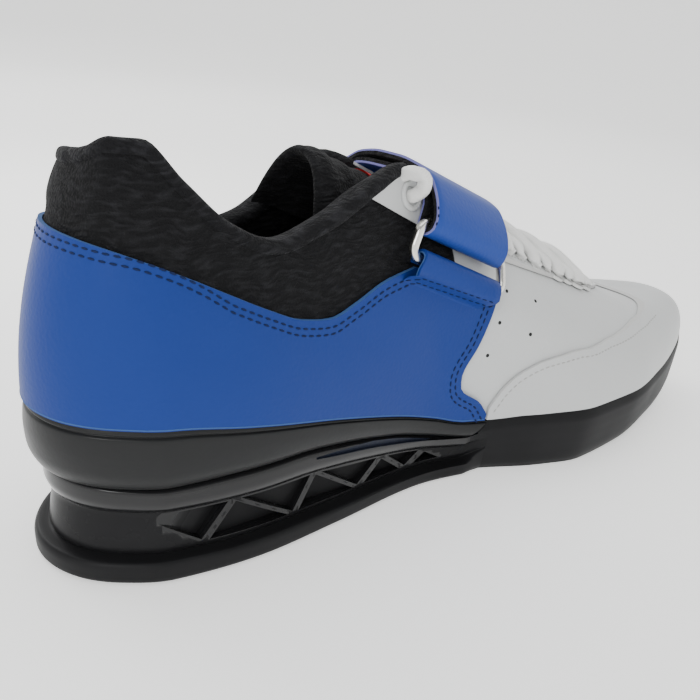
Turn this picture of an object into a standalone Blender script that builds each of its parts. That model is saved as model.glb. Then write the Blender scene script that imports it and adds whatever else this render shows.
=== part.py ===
"""Left weightlifting shoe with a raised heel, a laced throat and an instep strap.

The shoe stands on its sole. +X points to the toe, +Y to the outer (lateral) side and +Z up.
The origin is on the floor, at the middle of the sole's length and width.
Tables and sizes are in millimetres, and every mesh is made in metres.
"""

import math

import bmesh
import bpy
import numpy as np
from mathutils import Vector

MILLIMETRE = 0.001
COLLECTION = "weightlifting_shoe"

# Driving sizes
LENGTH = 293.0
GAP = 0.35
TOE_SPRING = 19.0
SPRING_START = 42.0
HEEL_SIDE_END = 0.5
STEP_X = 7.5

# Stations run round the shoe from the heel: every six degrees, and one pair at the sole's step
EVEN_STATIONS = np.radians(np.arange(0.0, 360.0, 6.0))
STEP_STATION = math.acos(-STEP_X / (LENGTH / 2))
STATIONS = np.sort(np.concatenate([EVEN_STATIONS, [STEP_STATION, 2 * math.pi - STEP_STATION]]))
COLUMNS = len(STATIONS)

# Upper
WALL = 2.0
COLLAR_WALL = 6.5
FEATHER_INSET = 1.9
HEEL_FLUSH = 0.5
CUP_LIP_INSET = 2.8
CUP_FLOOR_INSET = 4.6

# Overlays
OVERLAY_WALL = 1.2
CUTTER_REACH = 80.0
CUTTER_TOP = 140.0

# Counter: its outline from the side, as (x, z)
COUNTER_SIDE = (
    (-160.0, 40.0), (-160.0, 102.5), (-143.0, 101.2), (-133.0, 99.5), (-123.5, 96.3), (-112.5, 91.5),
    (-100.5, 85.5), (-87.5, 79.0), (-76.0, 74.2), (-65.0, 72.6), (-55.5, 75.5), (-43.0, 80.5), (-30.5, 83.0),
    (6.5, 69.0), (-1.5, 53.0), (-7.5, 41.0), (-7.0, 37.0), (2.0, 30.0), (5.5, 25.0), (5.0, 12.0), (-60.0, 12.0),
)

# Toe guard: its outline from the side, as (x, z)
TOE_GUARD_SIDE = (
    (6.5, 12.0), (6.5, 27.0), (10.0, 34.0), (16.0, 40.0), (26.0, 44.5), (45.0, 46.5), (70.0, 46.8),
    (92.0, 47.2), (108.0, 47.6), (112.5, 50.0), (114.0, 60.0), (160.0, 60.0), (160.0, 12.0),
)

# Eyestay: half of its outline from above, as (x, y), from its upper corner to its front.
# Its lower side is a plane that falls with x.
EYESTAY_PLAN = (
    (-27.0, 0.0), (-27.0, 17.0), (-34.0, 23.0), (-46.5, 28.0), (-52.0, 30.0), (-48.0, 33.0), (-20.0, 33.0),
    (-8.0, 25.5), (16.0, 23.0), (36.0, 21.0), (52.0, 19.0), (70.0, 16.5), (86.0, 13.0), (97.0, 8.5),
    (103.0, 3.0), (104.0, 0.0),
)
EYESTAY_LOW_Z = 81.5
EYESTAY_LOW_SLOPE = 0.5

# Insole
INSOLE_WALL = 4.0
INSOLE_PLAY = 0.8

# Tongue: sections along its length, each an arch that falls from its crown to its edges
TONGUE_ARC = 78.0
TONGUE_TILT = 0.35
TONGUE_ACROSS = 9
TONGUE_COLUMNS = ("x", "crown", "half", "drop", "lean", "pad")
TONGUE = (
    (84.0, 53.3, 15.0, 9.0, 0.0, 2.5),
    (68.0, 60.1, 18.0, 13.0, 0.0, 3.0),
    (48.0, 68.5, 19.0, 18.0, 0.0, 3.5),
    (25.0, 79.0, 19.5, 21.0, 0.0, 3.5),
    (2.0, 90.5, 19.5, 23.0, 0.0, 3.5),
    (-20.0, 101.5, 19.0, 25.0, 0.0, 4.0),
    (-34.0, 108.0, 17.5, 27.0, 0.05, 5.0),
    (-44.0, 112.3, 18.0, 28.0, 0.1, 6.0),
    (-52.0, 116.2, 19.0, 27.5, 0.2, 6.0),
    (-56.5, 117.5, 18.0, 27.0, 0.25, 4.0),
)

# Strap: its width runs down the instep. Paths are (y, rise) from the crown of its outer layer.
STRAP_CROWN = (-2.0, 0.0, 105.7)
STRAP_SLOPE = 23.5
STRAP_SKEW = 0.09
STRAP_WIDTH = 38.0
STRAP_WALL = 2.2
STRAP_FLARE = 0.15
STRAP_FLARE_RISES = (-20.0, -32.0)
STRAP_INNER = (
    (40.9, -41.0), (39.9, -38.0), (38.9, -35.0), (37.7, -31.6), (34.6, -28.2), (32.4, -25.6), (30.8, -22.5),
    (29.6, -19.2), (27.8, -16.0), (25.6, -13.0), (21.8, -8.8), (17.0, -5.8), (8.0, -4.9), (-8.0, -4.6),
    (-17.0, -4.9), (-21.8, -8.0), (-25.6, -13.0),
)
STRAP_OUTER = (
    (-31.4, -13.2), (-27.0, -8.2), (-20.8, -3.9), (-12.0, -1.8), (-4.0, -1.1), (6.0, -1.2), (17.0, -2.9),
    (23.3, -6.6), (27.9, -11.2), (30.5, -14.6), (32.5, -18.2), (33.9, -21.6), (35.4, -24.2), (37.6, -26.8),
)

# Ring and the tab that holds it
RING_WIRE = 3.0
RING_LENGTH = 43.0
RING_CORNER = 4.0
FOLD_PLAY = 0.35
RING_UPPER_BAR = (-30.0, -18.0)
RING_LOWER_BAR = (-34.0, -29.5)
TAB_WIDTH = 36.0
TAB_WALL = 1.4
TAB_INNER = ((-32.0, -30.8),)
TAB_OUTER = ((-37.0, -33.0), (-38.4, -39.0))

# Truss of the sole's side
TRUSS_NODES = (-127.0, -107.0, -97.0, -75.0, -67.0, -47.0, -36.0, -24.0, -15.0, -5.0)
TRUSS_RIB = 1.3
POCKET_MARGIN = 0.4
POCKET_DEPTH = 3.5
POCKET_REACH = 12.0
RECESS_INSET = 4.4

# Laces
LACE_WIDTH = 6.0
LACE_THICK = 2.6
LACE_SQUARENESS = 0.7
LACE_OUTWARD = (0.35, 0.0, 0.94)
LACE_UP = 0.94
LACE_LIFT = 4.2
LACE_REACH = 9.0
LACE_BAR_DROP = 0.75
LACE_STATIONS = (21.5, 35.0, 48.5, 61.5, 74.0)

# Plan of the sole's outer edge: half widths from the centre line at fractions of the length
OUTLINE_COLUMNS = ("t", "medial", "lateral")
OUTLINE = (
    (0.00, 0.0, 0.0),
    (0.02, -17.0, 17.0),
    (0.05, -25.0, 26.0),
    (0.10, -32.0, 33.0),
    (0.20, -35.0, 37.0),
    (0.30, -32.8, 38.0),
    (0.43, -29.3, 41.5),
    (0.50, -32.2, 46.0),
    (0.60, -44.5, 53.0),
    (0.67, -50.0, 55.0),
    (0.75, -49.5, 51.0),
    (0.84, -43.5, 39.0),
    (0.90, -37.5, 30.0),
    (0.95, -30.5, 19.0),
    (0.98, -23.0, 9.5),
    (1.00, -6.0, -6.0),
)

# Side heights of the sole along its length
HEIGHT_COLUMNS = ("x", "recess_low", "rail_low", "midsole_low", "footbed", "rim")
HEIGHTS = (
    (-145.0, 8.5, 21.5, 31.0, 37.5, 51.0),
    (-118.0, 8.5, 21.5, 30.0, 37.0, 50.0),
    (-96.0, 8.0, 21.5, 30.5, 36.5, 46.5),
    (-78.0, 8.0, 21.5, 30.5, 35.5, 43.0),
    (-58.0, 7.5, 20.0, 28.5, 32.5, 38.5),
    (-34.0, 7.0, 16.0, 23.5, 27.5, 32.0),
    (-16.0, 6.5, 13.0, 18.5, 22.5, 26.5),
    (-2.0, 6.5, 11.0, 15.2, 19.0, 22.5),
    (8.0, 6.5, 10.5, 14.0, 17.0, 22.0),
    (22.0, 6.5, 10.5, 14.0, 15.0, 23.3),
    (47.0, 6.5, 10.5, 13.0, 13.5, 23.7),
    (72.0, 6.5, 10.5, 13.0, 13.5, 24.0),
    (97.0, 8.5, 12.5, 15.0, 16.0, 25.5),
    (120.0, 13.0, 17.0, 19.0, 20.5, 28.5),
    (145.0, 21.5, 25.5, 28.0, 27.5, 33.5),
)

# Rows of the outsole's side, from its bottom edge up and into the cup.
# The heel side has a flange, a recess and a rail, and the fore side is one smooth wall.
SIDE_COLUMNS = ("heel_from", "heel_rise", "heel_inset", "heel_tuck", "fore_share", "fore_inset")
OUTSOLE_SIDE = (
    ("ground", 0.0, 1.4, 1.2, 0.00, 4.2),
    ("ground", 1.5, 0.2, 1.2, 0.10, 3.0),
    ("ground", 5.0, 0.0, 1.2, 0.30, 2.0),
    ("recess_low", -1.5, 0.6, 1.5, 0.45, 1.3),
    ("recess_low", 0.5, 4.2, 1.5, 0.55, 0.9),
    ("rail_low", -0.5, 4.6, 2.5, 0.65, 0.5),
    ("rail_low", 0.8, 2.6, 3.4, 0.75, 0.2),
    ("rail_low", 4.5, 1.3, 3.4, 0.84, 0.0),
    ("midsole_low", -1.2, 2.2, 2.6, 0.94, 0.7),
    ("midsole_low", -GAP, 3.8, 1.5, 1.00, 1.3),
)
FORE_TUCK_EASE = 0.7
FORE_TUCK_FROM = 70.0
FORE_TUCK_TO = 125.0
HEEL_SHELF_INSET = 5.2
HEEL_BED_INSET = 6.6

# Rows of the midsole's side, as shares of its height, from its lower edge to its lip, as (share, inset).
# Its front end slants with the step of the outsole, this much behind it.
MIDSOLE_END = 0.5
MIDSOLE_SIDE = ((0.00, 4.4), (0.05, 2.8), (0.30, 0.5), (0.60, 0.0), (0.88, 0.7), (1.00, 1.2))

# Sections of the upper, one for each station of the feather line.
# top_* is the point of the collar, throat or ridge where the section ends.
SECTION_COLUMNS = (
    "t", "top_x", "medial_y", "lateral_y", "medial_z", "lateral_z", "low_lean", "top_angle", "low_pull", "top_pull",
)
SECTIONS = (
    (0.000, -131.0, 0.0, 0.0, 119.5, 119.5, 1.0, 76.0, 0.42, 0.32),
    (0.020, -129.5, -9.0, 8.5, 122.0, 118.5, 1.0, 76.0, 0.42, 0.32),
    (0.050, -126.5, -14.5, 13.5, 124.8, 117.3, 2.0, 76.0, 0.42, 0.33),
    (0.100, -119.5, -18.5, 18.5, 124.5, 115.5, 3.0, 76.0, 0.42, 0.35),
    (0.150, -110.5, -22.5, 22.5, 114.5, 108.5, 4.0, 76.0, 0.40, 0.35),
    (0.220, -98.5, -26.0, 25.5, 103.0, 95.5, 4.0, 77.0, 0.40, 0.35),
    (0.300, -82.0, -27.5, 27.0, 96.5, 88.0, 3.0, 78.0, 0.40, 0.35),
    (0.360, -65.0, -26.5, 27.0, 101.5, 91.0, 4.0, 72.0, 0.40, 0.35),
    (0.420, -47.5, -23.5, 25.0, 110.0, 101.5, 5.0, 64.0, 0.40, 0.35),
    (0.455, -35.0, -19.0, 20.5, 113.5, 110.0, 5.0, 58.0, 0.40, 0.38),
    (0.500, -20.0, -14.5, 15.0, 104.5, 104.5, 5.0, 50.0, 0.42, 0.40),
    (0.560, 2.0, -13.0, 13.0, 92.5, 92.5, 4.0, 44.0, 0.42, 0.42),
    (0.620, 25.0, -12.0, 12.0, 80.5, 80.5, 3.0, 36.0, 0.42, 0.45),
    (0.680, 49.0, -11.0, 11.0, 69.5, 69.5, 2.0, 28.0, 0.42, 0.48),
    (0.740, 71.0, -10.0, 10.0, 60.0, 60.0, 2.0, 20.0, 0.42, 0.50),
    (0.790, 88.0, -7.5, 7.5, 53.5, 53.5, 2.0, 10.0, 0.42, 0.50),
    (0.820, 96.0, 0.0, 0.0, 51.0, 51.0, 2.0, 0.0, 0.42, 0.50),
    (0.860, 101.0, 0.0, 0.0, 49.5, 49.5, 2.0, 0.0, 0.44, 0.50),
    (0.900, 105.5, -1.0, -1.0, 48.3, 48.3, 2.0, 0.0, 0.46, 0.50),
    (0.950, 110.0, -2.0, -2.0, 47.0, 47.0, 2.0, 0.0, 0.48, 0.50),
    (1.000, 114.0, -3.0, -3.0, 46.0, 46.0, 2.0, 0.0, 0.50, 0.50),
)
THROAT_FRONT_T = 0.82
PAD_FADE_FROM = 0.385
PAD_FADE_TO = 0.475
PAD_LOW = 0.45
PAD_HIGH = 0.85
ROWS_UP = (0.0, 0.12, 0.25, 0.38, 0.50, 0.62, 0.73, 0.83, 0.885, 0.93, 0.97, 1.0)

# The rolled edge of the collar: a groove and a bead, for each row above
ROLL = (0.0, 0.0, 0.0, 0.0, 0.0, 0.0, 0.0, 0.0, -0.7, 0.7, 0.7, -0.4)
ROLL_TOP = 0.6


def smooth(stations, values, at):
    """A cubic through the values that never swings past them."""
    stations = np.asarray(stations, float)
    values = np.asarray(values, float)
    steps = np.diff(stations)
    slopes = np.diff(values) / steps
    tangents = np.concatenate([slopes[:1], np.zeros(len(slopes) - 1), slopes[-1:]])
    before, after = slopes[:-1], slopes[1:]
    rising = before * after > 0
    tangents[1:-1][rising] = 2 * before[rising] * after[rising] / (before[rising] + after[rising])
    cell = np.clip(np.searchsorted(stations, at, side="right") - 1, 0, len(steps) - 1)
    s = (at - stations[cell]) / steps[cell]
    return (
        values[cell] * (1 + 2 * s) * (1 - s) ** 2
        + tangents[cell] * steps[cell] * s * (1 - s) ** 2
        + values[cell + 1] * s * s * (3 - 2 * s)
        - tangents[cell + 1] * steps[cell] * s * s * (1 - s)
    )


def column(table, names, name):
    return np.array([row[names.index(name)] for row in table])


def around(table, names, medial, lateral, angle):
    """Reads two columns as one closed curve: along the medial side to the toe, back on the lateral."""
    half = np.arccos(1 - 2 * column(table, names, "t"))
    near = column(table, names, medial)
    far = column(table, names, lateral)
    angles = np.concatenate([half, 2 * math.pi - half[-2:0:-1]])
    values = np.concatenate([near, far[-2:0:-1]])
    angles = np.concatenate([angles[-2:] - 2 * math.pi, angles, angles[:2] + 2 * math.pi])
    values = np.concatenate([values[-2:], values, values[:2]])
    return smooth(angles, values, np.mod(angle, 2 * math.pi))


def blend(low, high, at):
    """Goes softly from 0 at low to 1 at high."""
    s = np.clip((at - low) / (high - low), 0.0, 1.0)
    return s * s * (3 - 2 * s)


def unit(vectors):
    return vectors / np.linalg.norm(vectors, axis=-1, keepdims=True)


def outline_point(angle):
    across = around(OUTLINE, OUTLINE_COLUMNS, "medial", "lateral", angle)
    return np.stack([-LENGTH / 2 * np.cos(angle), across - SIDE_SHIFT], axis=-1)


def edge(angle, inset):
    """Points of the sole's outer edge, moved inwards."""
    step = 0.002
    along = unit(outline_point(angle + step) - outline_point(angle - step))
    inward = np.stack([-along[..., 1], along[..., 0]], axis=-1)
    return outline_point(angle) + inward * np.asarray(inset)[..., None]


SIDE_SHIFT = 0.0
FINE = np.linspace(0.0, 2 * math.pi, 1441)
SIDE_SHIFT = float(outline_point(FINE)[:, 1].max() + outline_point(FINE)[:, 1].min()) / 2


def ground(x):
    share = np.clip((x - SPRING_START) / (LENGTH / 2 - SPRING_START), 0.0, 1.0)
    return TOE_SPRING * share**2


def height(name, x):
    if name == "ground":
        return ground(x)
    stations = column(HEIGHTS, HEIGHT_COLUMNS, "x")
    return smooth(stations, column(HEIGHTS, HEIGHT_COLUMNS, name), x)


def with_height(flat, z):
    return np.concatenate([flat, np.broadcast_to(z, flat.shape[:-1])[..., None]], axis=-1)


def make_object(name, points, faces, material, wall=None):
    mesh = bpy.data.meshes.new(name)
    mesh.from_pydata((np.asarray(points) * MILLIMETRE).tolist(), [], faces)
    made = bmesh.new()
    made.from_mesh(mesh)
    if wall is not None:
        layer = made.verts.layers.deform.verify()
        made.verts.ensure_lookup_table()
        for vert, share in zip(made.verts, wall):
            vert[layer][0] = float(share)
    bmesh.ops.remove_doubles(made, verts=made.verts, dist=0.00001)
    made.to_mesh(mesh)
    made.free()
    mesh.shade_smooth()
    mesh.set_sharp_from_angle(angle=math.radians(35))
    mesh.materials.append(material)
    item = bpy.data.objects.new(name, mesh)
    if wall is not None:
        item.vertex_groups.new(name="wall")
    bpy.data.collections[COLLECTION].objects.link(item)
    return item


def side_faces(rows, columns, closed, split=False):
    """Quads between rows of points that run round the shoe, or triangles with like diagonals."""
    faces = []
    for row in range(rows - 1):
        for k in range(columns if closed else columns - 1):
            after = (k + 1) % columns
            low, high = row * columns, (row + 1) * columns
            quad = (low + k, low + after, high + after, high + k)
            faces += [quad[:3], (quad[0], quad[2], quad[3])] if split else [quad]
    return faces


def ladder(start, columns, closed, upwards):
    """Closes a row of points with rungs from its medial to its lateral side."""
    loop = [start + k for k in range(columns)]
    if closed:
        half = columns // 2
        pairs = [(loop[k], loop[-k % columns]) for k in range(half + 1)]
    else:
        pairs = [(loop[-1 - k], loop[k]) for k in range(columns // 2 + 1)]
    faces = []
    for (near, far), (next_near, next_far) in zip(pairs, pairs[1:]):
        face = list(dict.fromkeys((near, next_near, next_far, far)))
        faces.append(face if closed == upwards else face[::-1])
    return faces


def band(name, rows, material, closed=True):
    """A solid from rows of points: up its side and down its inside, with both ends laddered."""
    columns = len(rows[0])
    faces = side_faces(len(rows), columns, closed)
    faces += ladder(0, columns, closed, upwards=False)
    faces += ladder((len(rows) - 1) * columns, columns, closed, upwards=True)
    if not closed:
        faces.append(
            [row * columns for row in range(len(rows))]
            + [row * columns + columns - 1 for row in reversed(range(len(rows)))]
        )
    return make_object(name, np.concatenate(rows), faces, material)


def outsole_rows(angle):
    rows = []
    names = SIDE_COLUMNS
    along = outline_point(angle)[:, 0]
    fore = blend(HEEL_SIDE_END, STEP_X, along)
    eased = 1 - FORE_TUCK_EASE * blend(FORE_TUCK_FROM, FORE_TUCK_TO, along)
    for row in OUTSOLE_SIDE:
        tucked = row[names.index("fore_inset")] * eased
        at_heel = row[names.index("heel_tuck")] * (0.5 + 0.5 * np.cos(angle)) ** 6
        flat = edge(angle, (1 - fore) * (row[names.index("heel_inset")] + at_heel) + fore * tucked)
        x = flat[:, 0]
        heel_z = height(row[names.index("heel_from")], x) + row[names.index("heel_rise")]
        fore_z = ground(x) + row[names.index("fore_share")] * (height("rim", x) - ground(x))
        rows.append(with_height(flat, (1 - fore) * heel_z + fore * fore_z))
    inner = (("rim", HEEL_SHELF_INSET, CUP_LIP_INSET), ("footbed", HEEL_BED_INSET, CUP_FLOOR_INSET))
    for name, heel_inset, fore_inset in inner:
        flat = edge(angle, (1 - fore) * heel_inset + fore * fore_inset)
        x = flat[:, 0]
        rows.append(with_height(flat, (1 - fore) * (height("midsole_low", x) - GAP) + fore * height(name, x)))
    return rows


def midsole_rows(angle):
    rows = []
    low, high, floor = (height(name, STEP_X / 2) for name in ("midsole_low", "rim", "footbed"))
    inner = ((1.0, CUP_LIP_INSET), ((floor - low) / (high - low), CUP_FLOOR_INSET))
    for number, (share, inset) in enumerate(MIDSOLE_SIDE + inner):
        front = math.acos((MIDSOLE_END - share * STEP_X) / (LENGTH / 2))
        at = angle.copy()
        at[[0, 1, -2, -1]] = -front, -min(front - 0.01, math.pi / 2), min(front - 0.01, math.pi / 2), front
        flat = edge(at, np.full(at.shape, inset))
        x = flat[:, 0]
        low_z, high_z = height("midsole_low", x), height("rim", x)
        z = height("footbed", x) if number == len(MIDSOLE_SIDE) + 1 else low_z + share * (high_z - low_z)
        rows.append(with_height(flat, z))
    return rows


def section_value(name, angle):
    return around(SECTIONS, SECTION_COLUMNS, name, name, angle)


def top_line(angle):
    across = around(SECTIONS, SECTION_COLUMNS, "medial_y", "lateral_y", angle)
    up = around(SECTIONS, SECTION_COLUMNS, "medial_z", "lateral_z", angle)
    return np.stack([section_value("top_x", angle), across, up], axis=-1)


def feather_inset(angle):
    """The upper stands nearly flush with the sole at the heel and further in at the toe."""
    heel = (1 + np.cos(angle)) / 2
    return FEATHER_INSET - HEEL_FLUSH * heel**4


def feather_line(angle):
    flat = edge(angle, feather_inset(angle))
    return with_height(flat, height("rim", flat[..., 0]) + GAP)


def upper_point(angle, up):
    """The upper's outer surface: angle runs round the shoe, up goes from feather line to top line."""
    foot, top = feather_line(angle), top_line(angle)
    outward = foot[..., :2] - edge(angle, feather_inset(angle) + 1.0)
    lean = np.radians(section_value("low_lean", angle))[..., None]
    start = np.concatenate([unit(outward) * np.sin(lean), np.cos(lean)], axis=-1)
    inward = unit(top[..., :2] - foot[..., :2])
    slope = top_slope(angle)
    climb = np.tan(np.radians(section_value("top_angle", angle))) + slope * inward[..., 0]
    finish = unit(np.concatenate([inward, climb[..., None]], axis=-1))
    reach = np.linalg.norm(top - foot, axis=-1, keepdims=True)
    low_handle = foot + start * reach * section_value("low_pull", angle)[..., None]
    top_handle = top - finish * reach * section_value("top_pull", angle)[..., None]
    u = np.asarray(up)[..., None]
    return (
        foot * (1 - u) ** 3 + low_handle * 3 * u * (1 - u) ** 2
        + top_handle * 3 * u * u * (1 - u) + top * u**3
    )


def top_slope(angle):
    """Fall of the ridge in front of the throat, where both halves of the upper meet."""
    step = 0.01
    fold = np.clip(np.arccos(np.cos(angle)), math.pi / 2, math.pi - step)
    ahead, behind = section_value("top_x", fold + step), section_value("top_x", fold - step)
    rise = section_value("medial_z", fold + step) - section_value("medial_z", fold - step)
    t = (1 - np.cos(angle)) / 2
    return rise / (ahead - behind) * blend(0.74, THROAT_FRONT_T, t)


def upper_grid(angle, ups):
    across, up = np.meshgrid(angle, np.asarray(ups))
    return upper_point(across, up)


def normals_of(grid):
    """Outward normals of a grid of rows that run right round the shoe."""
    round_step = np.roll(grid, -1, axis=1) - np.roll(grid, 1, axis=1)
    up_step = np.gradient(grid, axis=0)
    normals = unit(np.cross(round_step, up_step))
    mirrored = np.roll(normals[-1, ::-1], 1, axis=0)
    t = (1 - np.cos(STATIONS)) / 2
    ridge = t >= THROAT_FRONT_T - 0.001
    normals[-1, ridge] = unit((normals[-1] + mirrored)[ridge])
    return normals


def collar_share(angle, up):
    """1 on the padded collar, 0 on the thin wall of the sides, throat and vamp."""
    t = (1 - np.cos(angle)) / 2
    return (1 - blend(PAD_FADE_FROM, PAD_FADE_TO, t)) * blend(PAD_LOW, PAD_HIGH, up)


def material(name, color, roughness, metallic=0.0):
    made = bpy.data.materials.new(name)
    made.use_nodes = True
    shader = made.node_tree.nodes["Principled BSDF"]
    shader.inputs["Base Color"].default_value = (*color, 1.0)
    shader.inputs["Roughness"].default_value = roughness
    shader.inputs["Metallic"].default_value = metallic
    return made


def make_outsole():
    rubber = material("black_rubber", (0.022, 0.022, 0.024), 0.45)
    return band("outsole", outsole_rows(STATIONS), rubber)


def make_midsole():
    foam = material("dark_grey_foam", (0.035, 0.036, 0.038), 0.4)
    heel_half = EVEN_STATIONS[EVEN_STATIONS <= math.pi / 2 + 0.01]
    heel_half = np.append(heel_half, heel_half[-1] + 0.01)
    angle = np.concatenate([-heel_half[:0:-1], heel_half])
    return band("midsole", midsole_rows(angle), foam, closed=False)


def make_upper():
    """One padded wall from the cup's floor to the rolled collar, open at the collar and throat."""
    grid = upper_grid(STATIONS, ROWS_UP)
    roll = collar_share(STATIONS, 1.0)[None, :, None] * np.array(ROLL)[:, None, None]
    grid = grid + normals_of(grid) * roll
    grid[-1, :, 2] += ROLL_TOP * collar_share(STATIONS, 1.0)
    lip = edge(STATIONS, np.full(COLUMNS, CUP_LIP_INSET + GAP))
    floor = edge(STATIONS, np.full(COLUMNS, CUP_FLOOR_INSET + GAP))
    rows = [
        with_height(floor, height("footbed", floor[:, 0]) + GAP),
        with_height(lip, feather_line(STATIONS)[:, 2]),
    ]
    across, up = np.meshgrid(STATIONS, np.asarray(ROWS_UP))
    padded = np.concatenate([np.zeros((len(rows), COLUMNS)), collar_share(across, up)])
    wall = (WALL + (COLLAR_WALL - WALL) * padded) / COLLAR_WALL
    rows += list(grid)
    faces = side_faces(len(rows), COLUMNS, True, split=True)
    cloth = material("black_knit", (0.013, 0.013, 0.014), 0.9)
    upper = make_object("upper", np.concatenate(rows), faces, cloth, wall.ravel())
    thicken(upper, COLLAR_WALL, -1, "wall")


def thicken(item, wall, side, group=""):
    """Gives an open surface its wall: side is 1 for outwards and -1 for inwards."""
    solid = item.modifiers.new("wall", "SOLIDIFY")
    solid.thickness = wall * MILLIMETRE
    solid.offset = side
    solid.vertex_group = group
    solid.use_rim = True


def prism(name, outline, depth_axis, low, high):
    """A hidden cutter: a flat outline pushed along one axis."""
    flat_axes = [axis for axis in range(3) if axis != depth_axis]
    points = np.zeros((2 * len(outline), 3))
    points[:, flat_axes] = np.tile(np.asarray(outline, float), (2, 1))
    points[: len(outline), depth_axis] = low
    points[len(outline):, depth_axis] = high
    count = len(outline)
    faces = [[k, (k + 1) % count, count + (k + 1) % count, count + k] for k in range(count)]
    faces += [list(range(count))[::-1], list(range(count, 2 * count))]
    return cutter(name, points, faces)


def cutter(name, points, faces):
    mesh = bpy.data.meshes.new(name)
    mesh.from_pydata((np.asarray(points) * MILLIMETRE).tolist(), [], faces)
    made = bmesh.new()
    made.from_mesh(mesh)
    bmesh.ops.recalc_face_normals(made, faces=made.faces)
    made.to_mesh(mesh)
    made.free()
    item = bpy.data.objects.new(name, mesh)
    bpy.data.collections["cutters"].objects.link(item)
    item.hide_render = True
    item.display_type = "WIRE"
    return item


def cut(item, tool, operation):
    change = item.modifiers.new(operation.lower(), "BOOLEAN")
    change.operation = operation
    change.object = tool
    change.solver = "EXACT"


def overlay(name, made_of, tool):
    """A panel that lies on the upper: a larger form of it, kept only inside the tool."""
    grid = upper_grid(STATIONS, ROWS_UP)
    grid = grid + normals_of(grid) * GAP
    faces = side_faces(len(ROWS_UP), COLUMNS, True, split=True)
    panel = make_object(name, grid.reshape(-1, 3), faces, made_of)
    thicken(panel, OVERLAY_WALL, 1)
    cut(panel, tool, "INTERSECT")
    return panel


def make_counter():
    leather = material("blue_synthetic", (0.024, 0.082, 0.304), 0.5)
    tool = prism("counter_cutter", COUNTER_SIDE, 1, -CUTTER_REACH, CUTTER_REACH)
    overlay("counter", leather, tool)


def make_toe_guard():
    leather = material("white_toe_leather", (0.75, 0.76, 0.76), 0.4)
    tool = prism("toe_guard_cutter", TOE_GUARD_SIDE, 1, -CUTTER_REACH, CUTTER_REACH)
    overlay("toe_guard", leather, tool)


def make_eyestay():
    leather = material("white_leather", (0.80, 0.80, 0.79), 0.4)
    half = list(EYESTAY_PLAN)
    whole = [(x, -y) for x, y in half] + [(x, y) for x, y in reversed(half)]
    low = EYESTAY_LOW_Z - EYESTAY_LOW_SLOPE * np.array(whole)[:, 0]
    tool = prism("eyestay_cutter", whole, 2, low, CUTTER_TOP)
    overlay("eyestay", leather, tool)


def make_insole():
    inset = CUP_FLOOR_INSET + 2 * GAP + WALL + INSOLE_PLAY
    rows = []
    for rise in (0.0, INSOLE_WALL):
        flat = edge(STATIONS, np.full(COLUMNS, inset))
        rows.append(with_height(flat, height("footbed", flat[:, 0]) + GAP + rise))
    band("insole", rows, material("dark_grey_foam_liner", (0.05, 0.05, 0.055), 0.9))


def make_tongue():
    """A padded arch under the throat, whose free end stands up behind the laces."""
    names = TONGUE_COLUMNS
    bends = np.radians(np.linspace(-TONGUE_ARC, TONGUE_ARC, TONGUE_ACROSS))
    loops = []
    for row in TONGUE:
        x, crown, half, drop, lean, pad = (row[names.index(name)] for name in names)
        outer = np.stack(
            [x - lean * drop * (1 - np.cos(bends)), half * np.sin(bends), crown - drop * (1 - np.cos(bends))],
            axis=-1,
        )
        into = unit(np.stack([TONGUE_TILT * np.cos(bends), -np.sin(bends), -np.cos(bends)], axis=-1))
        inner = outer + into * pad
        loops.append(np.concatenate([outer, inner[::-1]]))
    count = 2 * TONGUE_ACROSS
    faces = side_faces(len(loops), count, True)
    for row in (0, len(loops) - 1):
        for k in range(TONGUE_ACROSS - 1):
            low = row * count
            face = [low + k, low + k + 1, low + count - 2 - k, low + count - 1 - k]
            faces.append(face if row else face[::-1])
    make_object("tongue", np.concatenate(loops), faces, material("black_mesh", (0.012, 0.012, 0.013), 0.9))


def strap_frame(along, y, rise):
    """From the strap's own axes to the shoe's: along its width, across the shoe, and off the instep."""
    slope = math.radians(STRAP_SLOPE)
    flare = STRAP_FLARE * along * np.clip((rise - STRAP_FLARE_RISES[0]) / np.diff(STRAP_FLARE_RISES)[0], 0.0, 1.0)
    y = y + math.copysign(flare, y * along)
    along = along + STRAP_SKEW * y
    x = STRAP_CROWN[0] + along * math.cos(slope) + rise * math.sin(slope)
    z = STRAP_CROWN[2] - along * math.sin(slope) + rise * math.cos(slope)
    return (x, y, z)


def webbing(name, path, width, wall, made_of):
    """A flat band along a path of (y, rise), straight across its width."""
    points = []
    for share in (-0.5, -0.17, 0.17, 0.5):
        points += [strap_frame(share * width, y, rise) for y, rise in path]
    count = len(path)
    faces = [
        (row * count + k, row * count + k + 1, (row + 1) * count + k + 1, (row + 1) * count + k)
        for row in range(3)
        for k in range(count - 1)
    ]
    flat_band = make_object(name, points, faces, made_of)
    thicken(flat_band, wall, 0)
    flat_band.modifiers["wall"].use_even_offset = True


def bend(centre, radius, start, end, steps):
    """Points of an arc, in degrees, round a centre in the strap's (y, rise) plane."""
    angles = np.radians(np.linspace(start, end, steps))
    return [(centre[0] + radius * math.cos(a), centre[1] + radius * math.sin(a)) for a in angles]


def make_strap():
    fold = RING_WIRE / 2 + GAP + FOLD_PLAY + STRAP_WALL / 2
    path = list(STRAP_INNER) + bend(RING_UPPER_BAR, fold, -15.0, -195.0, 7) + list(STRAP_OUTER)
    webbing("strap", path, STRAP_WIDTH, STRAP_WALL, material("blue_strap", (0.058, 0.136, 0.376), 0.55))


def make_ring_tab():
    fold = RING_WIRE / 2 + GAP + FOLD_PLAY + TAB_WALL / 2
    path = list(TAB_INNER) + bend(RING_LOWER_BAR, fold, 0.0, 180.0, 7) + list(TAB_OUTER)
    webbing("ring_tab", path, TAB_WIDTH, TAB_WALL, material("blue_tab", (0.024, 0.082, 0.304), 0.5))


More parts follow.
